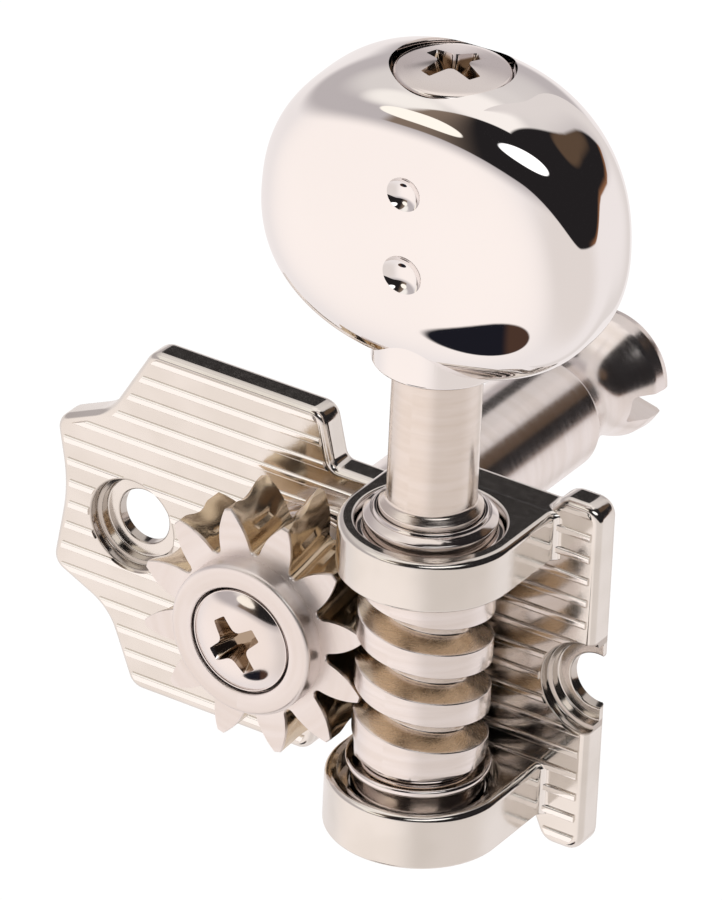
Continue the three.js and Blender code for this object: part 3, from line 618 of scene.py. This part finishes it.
def worm_shaft_mesh():
    """The left-hand worm and its stem as one grid. Column t is an angle round the axis. A thread row
    stands at height s - pitch * t / turn, held between the worm's ends, and its radius is the
    groove's cross-section at that height. Rows below and above are plain turned profiles."""
    low, high = WORM_LOW, WORM_HIGH
    sides, edge, foot_z, stem_r, drive_r = 144, 0.08, -8.49, 2.24, 1.9
    groove_low, groove_high, run_out = -4.3, 4.72, 0.3
    turn = TAU * np.arange(sides + 1) / sides
    depth = WORM_OUTER_R - WORM_ROOT_R
    wide, narrow = thread_half_width(WORM_OUTER_R), thread_half_width(WORM_ROOT_R)
    across, down = rounded_path([
        (-PITCH / 2, 0, 0), (-wide, 0, 0.07), (-narrow, depth, 0.16),
        (narrow, depth, 0.16), (wide, 0, 0.07), (PITCH / 2, 0, 0),
    ]).T
    start = WHEEL_PITCH_R * WHEEL_PHASE + PITCH / 2
    passes = np.arange((low - start) // PITCH - 1, (high - start) // PITCH + 4)
    rises = (start + passes[:, None] * PITCH + across[None, :-1]).ravel()
    lead = PITCH * turn[None] / TAU
    z = np.clip(rises[:, None] - lead, low, high)
    s = z + lead
    nearest = np.round((s - start) / PITCH)
    centre = start + nearest * PITCH - lead
    cut = np.interp(s - start - nearest * PITCH, across, down)
    fade = np.clip((groove_high - centre) / run_out, 0, 1)
    fade = fade * np.clip((centre - groove_low) / run_out, 0, 1)
    fade = fade * fade * (3 - 2 * fade)
    end = np.minimum(1.0, np.minimum(z - low, high - z) / edge)
    r = WORM_OUTER_R - cut * fade - edge * (1 - np.sqrt(np.clip(1 - (1 - end) ** 2, 0, 1)))
    face_r, drive = WORM_OUTER_R - edge, DRIVE_TOP - 0.05
    foot = rounded_path([(0, foot_z, 0), (FOOT_R, foot_z, 0.2), (FOOT_R, low, 0.1), (face_r, low, 0)])
    head = rounded_path([
        (face_r, high, 0), (JOURNAL_R, high, 0.15), (JOURNAL_R, 9.5, 0.12), (stem_r, 9.84, 0.3),
        (stem_r, STEM_TOP, 0), (drive_r, STEM_TOP, 0), (drive_r, drive, 0), (0, drive, 0),
    ])
    below, above = (about("worm", path[:, :1], turn, path[:, 1:]) for path in (foot, head))
    grid = np.concatenate([below, about("worm", r, turn, z), above])
    return make_mesh("worm_and_stem", grid, grid_faces(len(grid), sides + 1))


# Wheel


def tooth_bounds(radius, offset):
    """The lowest and highest angle of a tooth at a radius and an offset from the worm's plane: a
    plain tapered tooth, cut back by each position in which the thread's flank passes it."""
    foot_half, tip_half, curve = 0.9, 0.2, 2.2
    rise = max(0.0, (radius - WHEEL_ROOT_R) / (WHEEL_TIP_R - WHEEL_ROOT_R))
    plain = foot_half - (foot_half - tip_half) * rise**curve

    def lead(away):
        return PITCH * np.arctan2(offset, away) / TAU

    slant = lead(WORM_PITCH_R) / WHEEL_PITCH_R
    turned = np.linspace(-math.pi / 4, math.pi / 4, 241)
    away = WORM_X - radius * np.cos(turned)
    depth = np.hypot(away, offset)
    meets = depth <= WORM_OUTER_R + TIP_CLEARANCE
    low, high = slant - plain / radius, slant + plain / radius
    if meets.any():
        turned, away, depth = turned[meets], away[meets], depth[meets]
        room = thread_half_width(np.minimum(depth, WORM_OUTER_R)) - BACKLASH / 2
        height = radius * np.sin(turned) - lead(away)
        high = min(high, float((turned - (height - room) / WHEEL_PITCH_R).min()))
        low = max(low, float((turned - (height + room) / WHEEL_PITCH_R).max()))
    return low, high


def wheel_mesh():
    """The wheel as one grid of rows, each a closed line round the post's axis: the boss and the front
    face inwards to outwards, the toothed rim from front to back, then the back face and the hub."""
    foot = WHEEL_ROOT_R + (WHEEL_PITCH_R - WHEEL_ROOT_R) / 5
    half_pitch = math.pi / TEETH
    gap = np.linspace(-1, 1, 9)[1:-1]
    phases = WHEEL_PHASE + TAU * np.arange(TEETH) / TEETH
    slices = []
    for offset in WHEEL_FACE * np.linspace(-0.5, 0.5, 15):
        inside = (WORM_ROOT_R + TIP_CLEARANCE) ** 2 - offset**2
        tip = min(WHEEL_TIP_R, WORM_X - math.sqrt(inside)) if inside > 0 else WHEEL_TIP_R
        radii = foot + (tip - foot) * np.linspace(0, 1, 12)
        bounds = np.array([tooth_bounds(float(r), offset) for r in radii])
        slant = bounds[0].mean()
        half_gap = half_pitch - (bounds[0, 1] - slant)
        gap_angles = slant - half_pitch + gap * half_gap * 0.96
        gap_radii = WHEEL_ROOT_R + (foot - WHEEL_ROOT_R) * np.abs(gap) ** 3
        radius = np.tile(np.concatenate([gap_radii, radii, radii[::-1]]), TEETH)
        angle = np.concatenate([gap_angles, bounds[:, 0], bounds[::-1, 1]])
        slices.append((radius, (phases[:, None] + angle[None]).ravel(), WORM_Y + offset))

    (front_r, front, _), (back_r, back, _) = slices[0], slices[-1]
    chamfer, screw_floor, boss_r, hub_r = 0.05, BOSS_FRONT + 1.6, 4.09, 4.0
    recess_r, hole_r, bore_r, core_r = 2.9, 1.4, 2.7, 0.5
    boss = rounded_path([
        (recess_r, BOSS_FRONT + 0.3, 0), (recess_r, BOSS_FRONT, 0.08), (boss_r, BOSS_FRONT, 0.22),
        (boss_r, WHEEL_FRONT, 0),
    ])
    hub = rounded_path([(hub_r, WHEEL_BACK, 0), (hub_r, HUB_BACK, 0.15), (bore_r, HUB_BACK, 0)])
    lines = [(core_r, front, screw_floor), (hole_r, front, screw_floor)]
    lines += [(r, front, y) for r, y in boss]
    lines += [(front_r - chamfer, front, WHEEL_FRONT), (front_r, front, WHEEL_FRONT + chamfer)]
    lines += slices[1:]
    lines += [(back_r - chamfer, back, WHEEL_BACK), (hub_r, back, WHEEL_BACK)]
    lines += [(r, back, y) for r, y in hub]
    lines += [(bore_r, back, WORM_Y), (core_r, back, WORM_Y)]
    grid = np.stack([about("post", *line) for line in lines])
    faces = grid_faces(len(grid), grid.shape[1], wrap_rows=True, wrap_columns=True)
    return make_mesh("toothed_wheel", grid, faces, merge=1e-4)


# Button


def superellipse(angle, exponent, width, height):
    """Places on |2x / width| ^ exponent + |2y / height| ^ exponent = 1."""
    u, v = np.cos(angle), np.sin(angle)
    x = np.sign(u) * np.abs(u) ** (2 / exponent) * width / 2
    return x, np.sign(v) * np.abs(v) ** (2 / exponent) * height / 2


def even_angles(exponent, width, height, low, high, count):
    """Angles that split a superellipse into steps that are even in a blend of length and turning."""
    fine = np.linspace(low, high, 6001)
    dx, dy = (np.diff(side) for side in superellipse(fine, exponent, width, height))
    length = np.hypot(dx, dy)
    heading = np.unwrap(np.arctan2(dy, dx))
    turning = np.abs(np.diff(heading, prepend=heading[0]))
    weight = 0.5 * length / length.sum() + 0.5 * turning / turning.sum()
    run = np.concatenate([[0.0], np.cumsum(weight)])
    return np.interp(np.linspace(0, run[-1], count), run, fine)


def in_button(u, v, z):
    """Places from the button's own width u and depth v, which are turned a little about the stem."""
    x, y = spin(u, v, BUTTON_TURN)
    return np.stack([WORM_X + x, WORM_Y + y, z], -1)


def button_body():
    """The oval body. Row angle a runs from the front face to the back and column angle b round the
    oval: scale = cos(a)^(2/face), depth = T/2 sin(a)^(2/face), rise = scale sin(b)^(2/oval)."""
    end = math.pi / 2 - 1e-6
    rows = even_angles(FACE_POWER, BUTTON_W, BUTTON_T, -end, end, 97)
    columns = even_angles(OVAL_POWER, BUTTON_W, BUTTON_H, 0.0, TAU, 193)[:-1]
    a, b = np.meshgrid(rows, columns, indexing="ij")
    scale, depth = superellipse(a, FACE_POWER, 2, BUTTON_T)
    reach, rise = superellipse(b, OVAL_POWER, BUTTON_W, 2)
    rise = scale * rise
    reach = scale * reach * (1 + BUTTON_TAPER * rise)
    grid = in_button(reach, depth * (1 + BUTTON_THICKENING * rise), BODY_MIDDLE + rise * BUTTON_H / 2)
    count = len(columns)
    faces = grid_faces(len(rows), count, wrap_columns=True).tolist()
    first, top = len(rows) * count, (len(rows) - 1) * count
    faces += [[first, (k + 1) % count, k] for k in range(count)]
    faces += [[first + 1, top + k, top + (k + 1) % count] for k in range(count)]
    points = np.concatenate([grid.reshape(-1, 3), grid[[0, -1]].mean(1)])
    return make_mesh("mirror_button", points, faces)


def body_level(x, y, z):
    """Zero on the button's body, negative inside, for arrays of places in millimetres."""
    u, v = spin(x - WORM_X, y - WORM_Y, -BUTTON_TURN)
    rise = (z - BODY_MIDDLE) / (BUTTON_H / 2)
    u = u / (BUTTON_W / 2) / (1 + BUTTON_TAPER * rise)
    v = v / (BUTTON_T / 2) / (1 + BUTTON_THICKENING * rise)
    oval = np.abs(u) ** OVAL_POWER + np.abs(rise) ** OVAL_POWER
    return oval ** (FACE_POWER / OVAL_POWER) + np.abs(v) ** FACE_POWER - 1


def set_true_normals(mesh):
    """Gives the corners on the button's body the exact normal of its formula, and keeps the others."""
    place = np.empty(len(mesh.vertices) * 3)
    mesh.vertices.foreach_get("co", place)
    place = place.reshape(-1, 3) / MM
    level = body_level(*place.T)
    slope = np.stack(
        [body_level(*(place + step).T) - body_level(*(place - step).T) for step in 1e-4 * np.eye(3)], 1
    )
    slope /= np.maximum(np.linalg.norm(slope, axis=1, keepdims=True), 1e-12)
    owner = np.empty(len(mesh.loops), np.int32)
    mesh.loops.foreach_get("vertex_index", owner)
    corner = np.empty(len(mesh.loops) * 3, np.float32)
    mesh.corner_normals.foreach_get("vector", corner)
    corner = corner.reshape(-1, 3)
    exact = slope[owner]
    on_body = (np.abs(level[owner]) < 2e-3) & ((exact * corner).sum(1) > 0.985)
    mesh.normals_split_custom_set(np.where(on_body[:, None], exact, corner).tolist())


def dimple_mesh(radius, depth, height):
    """The tool of a dimple: a ball that cuts the button's front to a depth, at a height."""
    ball = (radius**2 + depth**2) / (2 * depth)
    angle = np.linspace(-math.pi / 2, math.pi / 2, 65)
    dent = lathe_grid(ball * np.stack([np.cos(angle), np.sin(angle)], 1), 96, "post")
    rise = height / (BUTTON_H / 2)
    front = (1 - abs(rise) ** FACE_POWER) ** (1 / FACE_POWER)
    front = front * (1 + BUTTON_THICKENING * rise) * BUTTON_T / 2
    x, y, z = np.moveaxis(dent, -1, 0)
    dent = in_button(x, y + (depth - ball - front), z + BODY_MIDDLE + height)
    return make_mesh("dent", dent, grid_faces(65, 96, wrap_columns=True))


def button_mesh():
    """The body with its neck, the recess for the screw, the drive hole and the two dimples."""
    neck_r, neck_top, recess_r, drive_r, shank_r = 3.3, 19.6, 3.07, 1.98, 1.25
    neck_low, drive = STEM_TOP + SEAT_GAP, DRIVE_TOP + SEAT_GAP
    neck = lathe_mesh("neck", disc(neck_r, neck_low, neck_top, 0.22), 128, "worm", steps=14)
    recess = disc(recess_r, RECESS_FLOOR, RECESS_FLOOR + 3, 0.12)
    hole = [
        (0, STEM_TOP - 1, 0), (drive_r, STEM_TOP - 1, 0), (drive_r, drive, 0), (shank_r, drive, 0),
        (shank_r, RECESS_FLOOR + 1, 0), (0, RECESS_FLOOR + 1, 0),
    ]
    body = carve(button_body(), [neck], "UNION")
    cutters = [lathe_mesh("recess", recess, 128, "worm", steps=14), lathe_mesh("hole", hole, 64, "worm")]
    return carve(body, cutters + [dimple_mesh(*dimple) for dimple in DIMPLES])


# Screws


def cross_cutter(reach, width, depth, turn):
    """The tool of a cross recess: a plus with slender tips and a wide core that narrows with depth,
    along +Y from a face at 0. Its levels are (depth, share of the reach, share of the width)."""
    rings = []
    for level, long, wide in (
        (-1.0, 1.0, 1.06), (0.0, 1.0, 1.0), (0.6 * depth, 0.78, 0.72), (depth, 0.42, 0.5)
    ):
        r, w = reach * long, width * wide / 2
        n, tip, core = 0.76 * w, 0.08 * wide, 0.4 * wide
        corners = [(r, -n, tip), (w, -w, core), (n, -r, tip)]
        for _ in range(3):
            corners += [(v, -u, rounding) for u, v, rounding in corners[-3:]]
        u, v = spin(*outline(corners, 0.0, 4).T, -turn)
        rings.append(np.stack([u, np.full(len(u), level), v], 1))
    return np.asarray(rings)


def dome(radius, height, steepening, crown, way):
    """The profile of a domed head from its crown to its rim. It falls by height * (r / radius) ^
    steepening, and the way is the sign of the fall."""
    return [(radius * q, crown + way * height * q**steepening, 0) for q in np.linspace(0, 1, 21)]


def button_screw_mesh():
    """The domed screw in the button's recess, with its shank."""
    head_r, shank_r = 2.9, 1.1
    rim, under, foot = BUTTON_SCREW_TOP - 0.55, RECESS_FLOOR + SEAT_GAP, RECESS_FLOOR - 5.5
    screw = lathe_mesh("button_screw_head", dome(2.45, 0.44, 1.15, BUTTON_SCREW_TOP, -1) + [
        (head_r, rim, 0.42), (head_r, under, 0.05), (shank_r, under, 0), (shank_r, foot, 0.2),
        (0, foot, 0),
    ], 128, "worm")
    x, y, z = np.moveaxis(cross_cutter(1.86, 0.98, 1.15, math.radians(20)), -1, 0)
    cutter = loft_mesh("cross", np.stack([WORM_X + x, WORM_Y + z, BUTTON_SCREW_TOP - y], -1))
    return carve(screw, [cutter])


def wheel_screw_mesh():
    """The domed countersunk screw in the wheel's boss, with its shank."""
    head_r, shank_r = 2.75, 1.2
    rim, cone = BOSS_FRONT + 0.25, BOSS_FRONT + 0.25 + 1.3
    screw = lathe_mesh("wheel_screw_head", dome(2.7, 0.62, 3.4, WHEEL_SCREW_TOP, 1) + [
        (head_r, BOSS_FRONT + 0.06, 0.04), (head_r, rim, 0.05), (shank_r, cone, 0.1),
        (shank_r, cone + 5.2, 0.2), (0, cone + 5.2, 0),
    ], 128, "post")
    rings = cross_cutter(1.6, 0.98, 1.05, math.radians(52))
    return carve(screw, [loft_mesh("cross", rings + np.array([0.0, WHEEL_SCREW_TOP, 0.0]))])


# Bushes and washers


def upper_bush_mesh():
    """The stepped bush: a body in the lug, a ring that stands proud and a lip round the stem's foot."""
    bore, body_r, ring_r, middle, low = JOURNAL_BORE_R, UPPER_BUSH_R, 3.35, 7.0, WORM_HIGH + SEAT_GAP
    return lathe_mesh("stepped_bush", [
        (bore, middle, 0), (bore, low, 0.05), (body_r, low, 0.12), (body_r, 8.02, 0.1),
        (ring_r, 8.02, 0.05), (ring_r, 8.82, 0.13), (2.98, 9.12, 0.06), (2.9, 9.04, 0.05),
        (2.82, 9.22, 0.07), (bore, 9.22, 0.03), (bore, middle, 0),
    ], 128, "worm")


def lower_bush_mesh():
    """The flanged bush whose flange shows under the worm's last thread."""
    bore, middle, body_r, flange_r = FOOT_BORE_R, -7.0, LOWER_BUSH_R, 3.65
    return lathe_mesh("flanged_bush", [
        (bore, middle, 0), (bore, -8.97, 0.05), (body_r, -8.97, 0.1), (body_r, -5.35, 0.05),
        (flange_r, -5.35, 0.12), (flange_r, -4.95, 0.16), (bore, -4.95, 0.03), (bore, middle, 0),
    ], 128, "worm")


def washer_mesh(name, bore, radius, low, high, axis):
    """A flat washer with small roundings."""
    middle, edge = (low + high) / 2, (high - low) / 4
    return lathe_mesh(name, [
        (bore, middle, 0), (bore, low, edge), (radius, low, edge), (radius, high, edge),
        (bore, high, edge), (bore, middle, 0),
    ], 96, axis, steps=3)


# String post


def string_post_mesh():
    """The post: journal, long body, waist, flared end and slot, with the square for the wheel."""
    post_r, waist_r, flare_r, shoulder, length, rim = 3.175, 2.5, 3.54, 19.4, 25.85, 0.5
    front, square_half = SEAT_GAP, 1.75
    share = np.linspace(0, 1, 41)
    dip = np.sin(math.pi * np.minimum(1, share * 1.15)) * (post_r - waist_r)
    radii = post_r - dip + (flare_r - post_r) * share**2
    heights = shoulder + (length - rim - shoulder) * share
    waist = [(r, y, 0) for r, y in zip(radii, heights)]
    post = lathe_mesh("slotted_post", [
        (0, HUB_BACK, 0), (JOURNAL_R, HUB_BACK, 0.1), (JOURNAL_R, front, 0.03), (post_r, front, 0.12),
        *waist[:-1], (flare_r, length - rim, 0.2), (3.5, length - 0.12, 0.15), (3.25, length, 0.15),
        (0, length, 0),
    ], 144, "post")
    half, over, floor, reach, slot_turn = 1.65 / 2, length + 1, length - 2.6, 6.0, math.radians(13)
    corners = [(-half, over, 0.01), (half, over, 0.01), (half, floor, 0.3), (-half, floor, 0.3)]
    across, y = outline(corners, 0.0, 5).T
    rings = []
    for run in (-reach, reach):
        x, z = spin(run, across, -slot_turn)
        rings.append(np.stack([x, y, z], 1))
    square = [(square_half * u, square_half * v, 0.15) for u, v in ((-1, -1), (-1, 1), (1, 1), (1, -1))]
    shank = loft_mesh("shank", outline_rings(square, [(0.0, BOSS_FRONT + 1.85), (0.0, -0.5)], 3))
    return carve(carve(post, [loft_mesh("slot", rings)]), [shank], "UNION")


# Base plate


def plate_corners():
    """The plate's outline seen from the front: two lobes, a neck and the shelves behind the lugs."""
    left, right, top, bottom = -16.5, PLATE_RIGHT, 9.4, -10.4
    big, small, shift = 0.95, 0.475, 0.2375
    lug_left, lug_right = WORM_X - UPPER_LUG[0], WORM_X + UPPER_LUG[0]
    lobe = lug_right + shift
    return [
        (left * 0.655, top, big), (left * 0.03, top, big), (shift, 6.5, small),
        (lug_left, 6.5, small), (lug_left, 8.52, big), (lug_right - small, 8.52, small),
        (lobe, top, big), (right, top, big), (right, bottom, big), (lobe, bottom, big),
        (lug_right - small, -8.85, small), (lug_left, -8.85, big), (lug_left, -7.4, small),
        (shift, -7.4, small), (left * 0.03, bottom, big), (left * 0.69, bottom, big),
        (left * 0.79, bottom * 0.615, 3), (left, bottom * 0.455, big), (left * 0.955, 0, 9),
        (left, top * 0.405, big), (left * 0.8, top * 0.56, 3),
    ]


def lug_mesh(radius, low, high):
    """A lug: a round front on straight sides that run back into the plate and flare there."""
    round_edge, flare, back = 0.36, 0.45, -0.5
    side, front = WORM_X + radius, WORM_Y - radius
    corners = [
        (WORM_X - radius, front, radius * 0.999), (WORM_X - radius, back, round_edge),
        (side + flare * 2, back, round_edge * 1.2), (side + flare * 2, PLATE_FRONT, round_edge * 1.2),
        (side, PLATE_FRONT, flare), (side, front, radius * 0.999),
    ]
    levels = rounded_levels(round_edge / 2, low, 1, 4) + rounded_levels(round_edge, high, -1, 8)[::-1]
    return loft_mesh("lug", outline_rings(corners, levels, 24, upright=True))


def rib_mesh(corners):
    """Sixteen raised ribs across the plate's front, each a low bar with a flat top and round edges,
    trimmed to the outline."""
    slope, half_width, flat = math.radians(72), 0.21, 0.09
    angle = np.linspace(0, slope, 5)
    radius = (half_width - flat) / math.sin(slope)
    side = np.append(flat + radius * np.sin(angle), half_width)
    fall = np.append(radius * (np.cos(angle) - math.cos(slope)) + 0.04, -0.1)
    across = np.concatenate([-side[::-1], side])
    y = PLATE_FRONT - np.concatenate([fall[::-1], fall])
    count = len(across)
    one = capped_faces(2, count)
    points, faces = [], []
    for i in range(RIBS):
        z = TOP_RIB_Z - RIB_PITCH * i + across
        faces += [[len(points) * count + k for k in face] for face in one]
        points += [np.stack([np.full(count, x), y, z], 1) for x in (-17.0, 16.5)]
    # The trimming field reaches higher along the top edge, so that it leaves the first rib whole.
    raised = [(u, v + 0.16 if v > 9 else v, rounding) for u, v, rounding in corners]
    levels = [(0.46, PLATE_FRONT - 1), (0.46, PLATE_FRONT + 0.2)]
    field = loft_mesh("field", outline_rings(raised, levels))
    return carve(make_mesh("ribs", points, faces), [field], "INTERSECT")


def seat_cutter(x):
    """The tool of a screw seat: a counterbore with a step and a clearance hole through its floor."""
    mouth_r, air, mouth, floor = 2.66, PLATE_FRONT - 1, PLATE_FRONT - 0.002, PLATE_FRONT + 1.1
    return lathe_mesh("seat", [
        (0, air, 0), (mouth_r, air, 0), (mouth_r, mouth, 0), (SEAT_R, mouth, 0.14),
        (SEAT_R, PLATE_FRONT + 0.55, 0.1), (SEAT_STEP_R, PLATE_FRONT + 0.6, 0.05),
        (SEAT_STEP_R, floor, 0.1), (SEAT_HOLE_R, floor, 0.1), (SEAT_HOLE_R, -0.1, 0), (1.6, 0.002, 0),
        (1.6, 1, 0), (0, 1, 0),
    ], 128, "post", x=x, z=HOLE_Z)


def bore_cutter(radius, low, high, round_edge):
    """The tool of a bore from low up to a rounded mouth at high."""
    mouth, wide = high + 0.002, radius + round_edge
    return lathe_mesh("bore", [
        (0, low, 0), (radius, low, 0), (radius, mouth, round_edge), (wide, mouth, 0),
        (wide, mouth + 1, 0), (0, mouth + 1, 0),
    ], 144, "worm", steps=8)


def base_plate_mesh():
    """The cast plate with its lugs, ribs, bores and screw seats."""
    corners = plate_corners()
    levels = rounded_levels(0.4, PLATE_FRONT, 1) + rounded_levels(0.5, 0.0, -1)[::-1]
    body = loft_mesh("cast_plate", outline_rings(corners, levels))
    body = carve(body, [lug_mesh(*UPPER_LUG), lug_mesh(*LOWER_LUG), rib_mesh(corners)], "UNION")
    low, high = LOWER_LUG[1:]
    flange_bore_r, foot_hole_r = 4.0, 2.15
    return carve(body, [
        bore_cutter(UPPER_BUSH_R + SEAT_GAP, UPPER_LUG[1] - 1, UPPER_LUG[2], 0.3),
        bore_cutter(LOWER_BUSH_R + SEAT_GAP, high - 3.2, high - 0.5, 0.5),
        bore_cutter(flange_bore_r, high - 0.55, high, 0.14),
        bore_cutter(foot_hole_r, low - 1, high - 1, 0.05),
        lathe_mesh("post_bore", disc(JOURNAL_BORE_R, -3, 1), 96, "post"),
        seat_cutter(HOLE_X),
        seat_cutter(NOTCH_X),
    ])


# Pieces

add_camera()

for part in frame["record"]["subparts"]:
    node = frame["nodes"][part["node"]]
    node.data.materials.clear()
    node.data.materials.append(MATERIALS[part["material_slot"]])

HUB_WASHER_LOW = HUB_BACK + SEAT_GAP
HUB_WASHER = (JOURNAL_BORE_R, 4.0, HUB_WASHER_LOW, HUB_WASHER_LOW + HUB_WASHER_T, "post")
END_WASHER_LOW = LOWER_LUG[2] + 0.9 + 0.04
END_WASHER = (FOOT_BORE_R, 3.0, END_WASHER_LOW, END_WASHER_LOW + 0.3, "worm")
# Each piece's name, mesh, body, slot and the node that it stands for.
PIECES = [
    ("worm_and_stem", worm_shaft_mesh(), "worm", "shaft_nickel", "worm_shaft"),
    ("toothed_wheel", wheel_mesh(), "post", "wheel_nickel", "worm_wheel"),
    ("cast_plate", base_plate_mesh(), "plate", "plate_nickel", "base_plate"),
    ("stepped_bush", upper_bush_mesh(), "plate", "bush_nickel", "upper_bush"),
    ("flanged_bush", lower_bush_mesh(), "plate", "bush_nickel", "lower_bush"),
    ("slotted_post", string_post_mesh(), "post", "post_nickel", "string_post"),
    ("domed_wheel_screw", wheel_screw_mesh(), "post", "screw_nickel", "wheel_screw"),
    ("domed_button_screw", button_screw_mesh(), "worm", "screw_nickel", "button_screw"),
    ("hub_washer", washer_mesh("hub_washer", *HUB_WASHER), "post", "bush_nickel", "wheel_washer"),
    ("end_washer", washer_mesh("end_washer", *END_WASHER), "worm", "bush_nickel", "worm_thrust_washer"),
]
for name, mesh, body, slot, node_name in PIECES:
    add_piece(name, mesh, body, slot, (node_name,))
button = add_piece("mirror_button", button_mesh(), "worm", "button_chrome", ("button",), sharp=12.0)
set_true_normals(button.data)


# Studio


def build_world():
    """A studio as the metal sees it, as a pattern of the direction. The ground is pale, the room above
    it grey and bright overhead, and a dark room stands to the right and in front, above a slanted
    edge. Two lamps, a small dark patch behind and a small dark card below the front stand out of them.
    The camera sees plain white."""
    world = bpy.data.worlds.new("studio")
    world.use_nodes = True
    bpy.context.scene.world = world
    t = Tree(world.node_tree)
    t.tree.nodes.clear()
    way = t.add("ShaderNodeTexCoord").outputs["Generated"]
    split = t.split(way)
    x, y, height = split["X"], split["Y"], split["Z"]
    heading = t.math("ARCTAN2", x, t.times(y, -1.0))

    def by_heading(low, high, *results):
        return t.ramp(heading, math.radians(low), math.radians(high), *results)

    def along(direction):
        dot = t.add("ShaderNodeVectorMath", {0: way, 1: tuple(direction)}, operation="DOT_PRODUCT")
        return dot.outputs["Value"]

    def lobe(direction, inner, outer):
        near = along(Vector(direction).normalized())
        return t.ramp(near, math.cos(math.radians(outer)), math.cos(math.radians(inner)))

    def oval(direction, wide, tall):
        """One inside an ellipse about a direction, with half sizes wide and tall, zero outside."""
        aim = Vector(direction).normalized()
        side = Vector((0, 0, 1)).cross(aim).normalized()
        parts = [
            t.math("POWER", t.math("DIVIDE", t.math("ABSOLUTE", along(axis)), size), 2.0)
            for axis, size in ((side, wide), (aim.cross(side), tall))
        ]
        return t.times(t.ramp(t.plus(*parts), 1.1, 0.9), t.ramp(along(aim), 0.0, 0.1))

    # The room, from the walls to the overhead light, with a bright lobe that the ribs' edges mirror.
    room = t.mix(t.ramp(height, 0.4, 0.7), (0.54, 0.5, 0.505, 1), (0.76, 0.72, 0.7, 1))
    room = t.mix(t.ramp(height, 0.8, 0.95), room, (1.04, 0.99, 0.95, 1))
    room = t.mix(lobe((-0.48, -0.53, 0.70), 6, 20), room, (1.02, 0.98, 0.93, 1))
    # The ground: duller to the right, brighter to the left and in front.
    low = t.mix(lobe((0.88, -0.32, -0.34), 25, 60), (0.93, 0.88, 0.87, 1), (0.82, 0.76, 0.73, 1))
    low = t.mix(lobe((-0.45, -0.8, -0.34), 20, 60), low, (1.08, 1.0, 0.96, 1))
    room = t.mix(t.ramp(height, 0.22, -0.02), room, low)
    room = t.mix(by_heading(150, 172), room, (0.8, 0.75, 0.73, 1))
    # The dark room above its edge, brown at the left end and orange along the right end's edge.
    edge = t.most(by_heading(22, 88, 0.2, -0.21), by_heading(120, 166, -0.21, 0.2))
    over = t.minus(height, edge)
    right = t.ramp(x, 0.31, 0.35)
    front = t.ramp(t.minus(t.times(x, 0.68), y), 0.37, 0.41)
    dark = t.times(t.times(t.ramp(over, -0.012, 0.012), t.most(right, front)), by_heading(-31, -26))
    gloom = t.mix(by_heading(-26, 4), (0.24, 0.18, 0.14, 1), (0.018, 0.016, 0.017, 1))
    rim = t.times(t.ramp(over, 0.07, 0.0), t.ramp(heading, 1.8, 2.2))
    gloom = t.mix(rim, gloom, (0.3, 0.14, 0.07, 1))
    gloom = t.mix(lobe((0.46, 0.74, 0.49), 7, 12), gloom, (0.11, 0.07, 0.045, 1))
    room = t.mix(dark, room, gloom)
    # The dark patch that flat tops mirror to the camera, the card and the two lamps.
    room = t.mix(lobe((-0.46, 0.74, 0.49), 8, 11), room, (0.03, 0.027, 0.027, 1))
    card = t.mix(t.ramp(x, -0.12, -0.06), (0.012, 0.012, 0.018, 1), (0.075, 0.04, 0.028, 1))
    room = t.mix(oval((-0.139, -0.557, -0.819), 0.225, 0.165), room, card)
    room = t.mix(oval((-0.325, -0.83, 0.45), 0.235, 0.135), room, (1.15, 1.1, 1.0, 1))
    room = t.mix(oval((0.56, -0.47, 0.682), 0.4, 0.17), room, (1.6, 1.6, 1.6, 1))

    def background(colour, strength=1.0):
        return t.add("ShaderNodeBackground", {"Color": colour, "Strength": strength}).outputs[0]

    rays = t.add("ShaderNodeLightPath").outputs
    plain, white = background((0.9, 0.9, 0.9, 1), 0.75), background((1, 1, 1, 1))
    mirrored = t.blend(rays["Is Glossy Ray"], plain, background(room))
    t.add("ShaderNodeOutputWorld", {"Surface": t.blend(rays["Is Camera Ray"], mirrored, white)})


def build_floor():
    """A plain pale floor under the lowest edge. The camera sees it close to white, and a share of its
    plain surface stays, so it keeps the object's shadow. Reflections look through it at the world."""
    size, glow_share = 3.0, 0.88
    z = cad_box[0].z - 0.0002
    mesh = bpy.data.meshes.new("studio_floor")
    corners = [(-size, -size, z), (size, -size, z), (size, size, z), (-size, size, z)]
    mesh.from_pydata(corners, [], [(0, 1, 2, 3)])
    floor = new_object("studio_floor", mesh)
    material, t, shader = new_material("pale_floor")
    out = next(n for n in t.tree.nodes if n.type == "OUTPUT_MATERIAL")
    t.put((0.9, 0.9, 0.9, 1), shader.inputs["Base Color"])
    t.put(0.9, shader.inputs["Roughness"])
    rays = t.add("ShaderNodeLightPath").outputs
    glow = t.add("ShaderNodeEmission", {"Color": (1, 1, 1, 1), "Strength": 1.1}).outputs[0]
    clear = t.add("ShaderNodeBsdfTransparent").outputs[0]
    seen = t.times(t.most(rays["Is Camera Ray"], rays["Is Transmission Ray"]), glow_share)
    plain = t.blend(seen, shader.outputs[0], glow)
    t.put(t.blend(rays["Is Glossy Ray"], plain, clear), out.inputs["Surface"])
    mesh.materials.append(material)


build_world()
build_floor()
bpy.context.scene.view_settings.view_transform = "Standard"
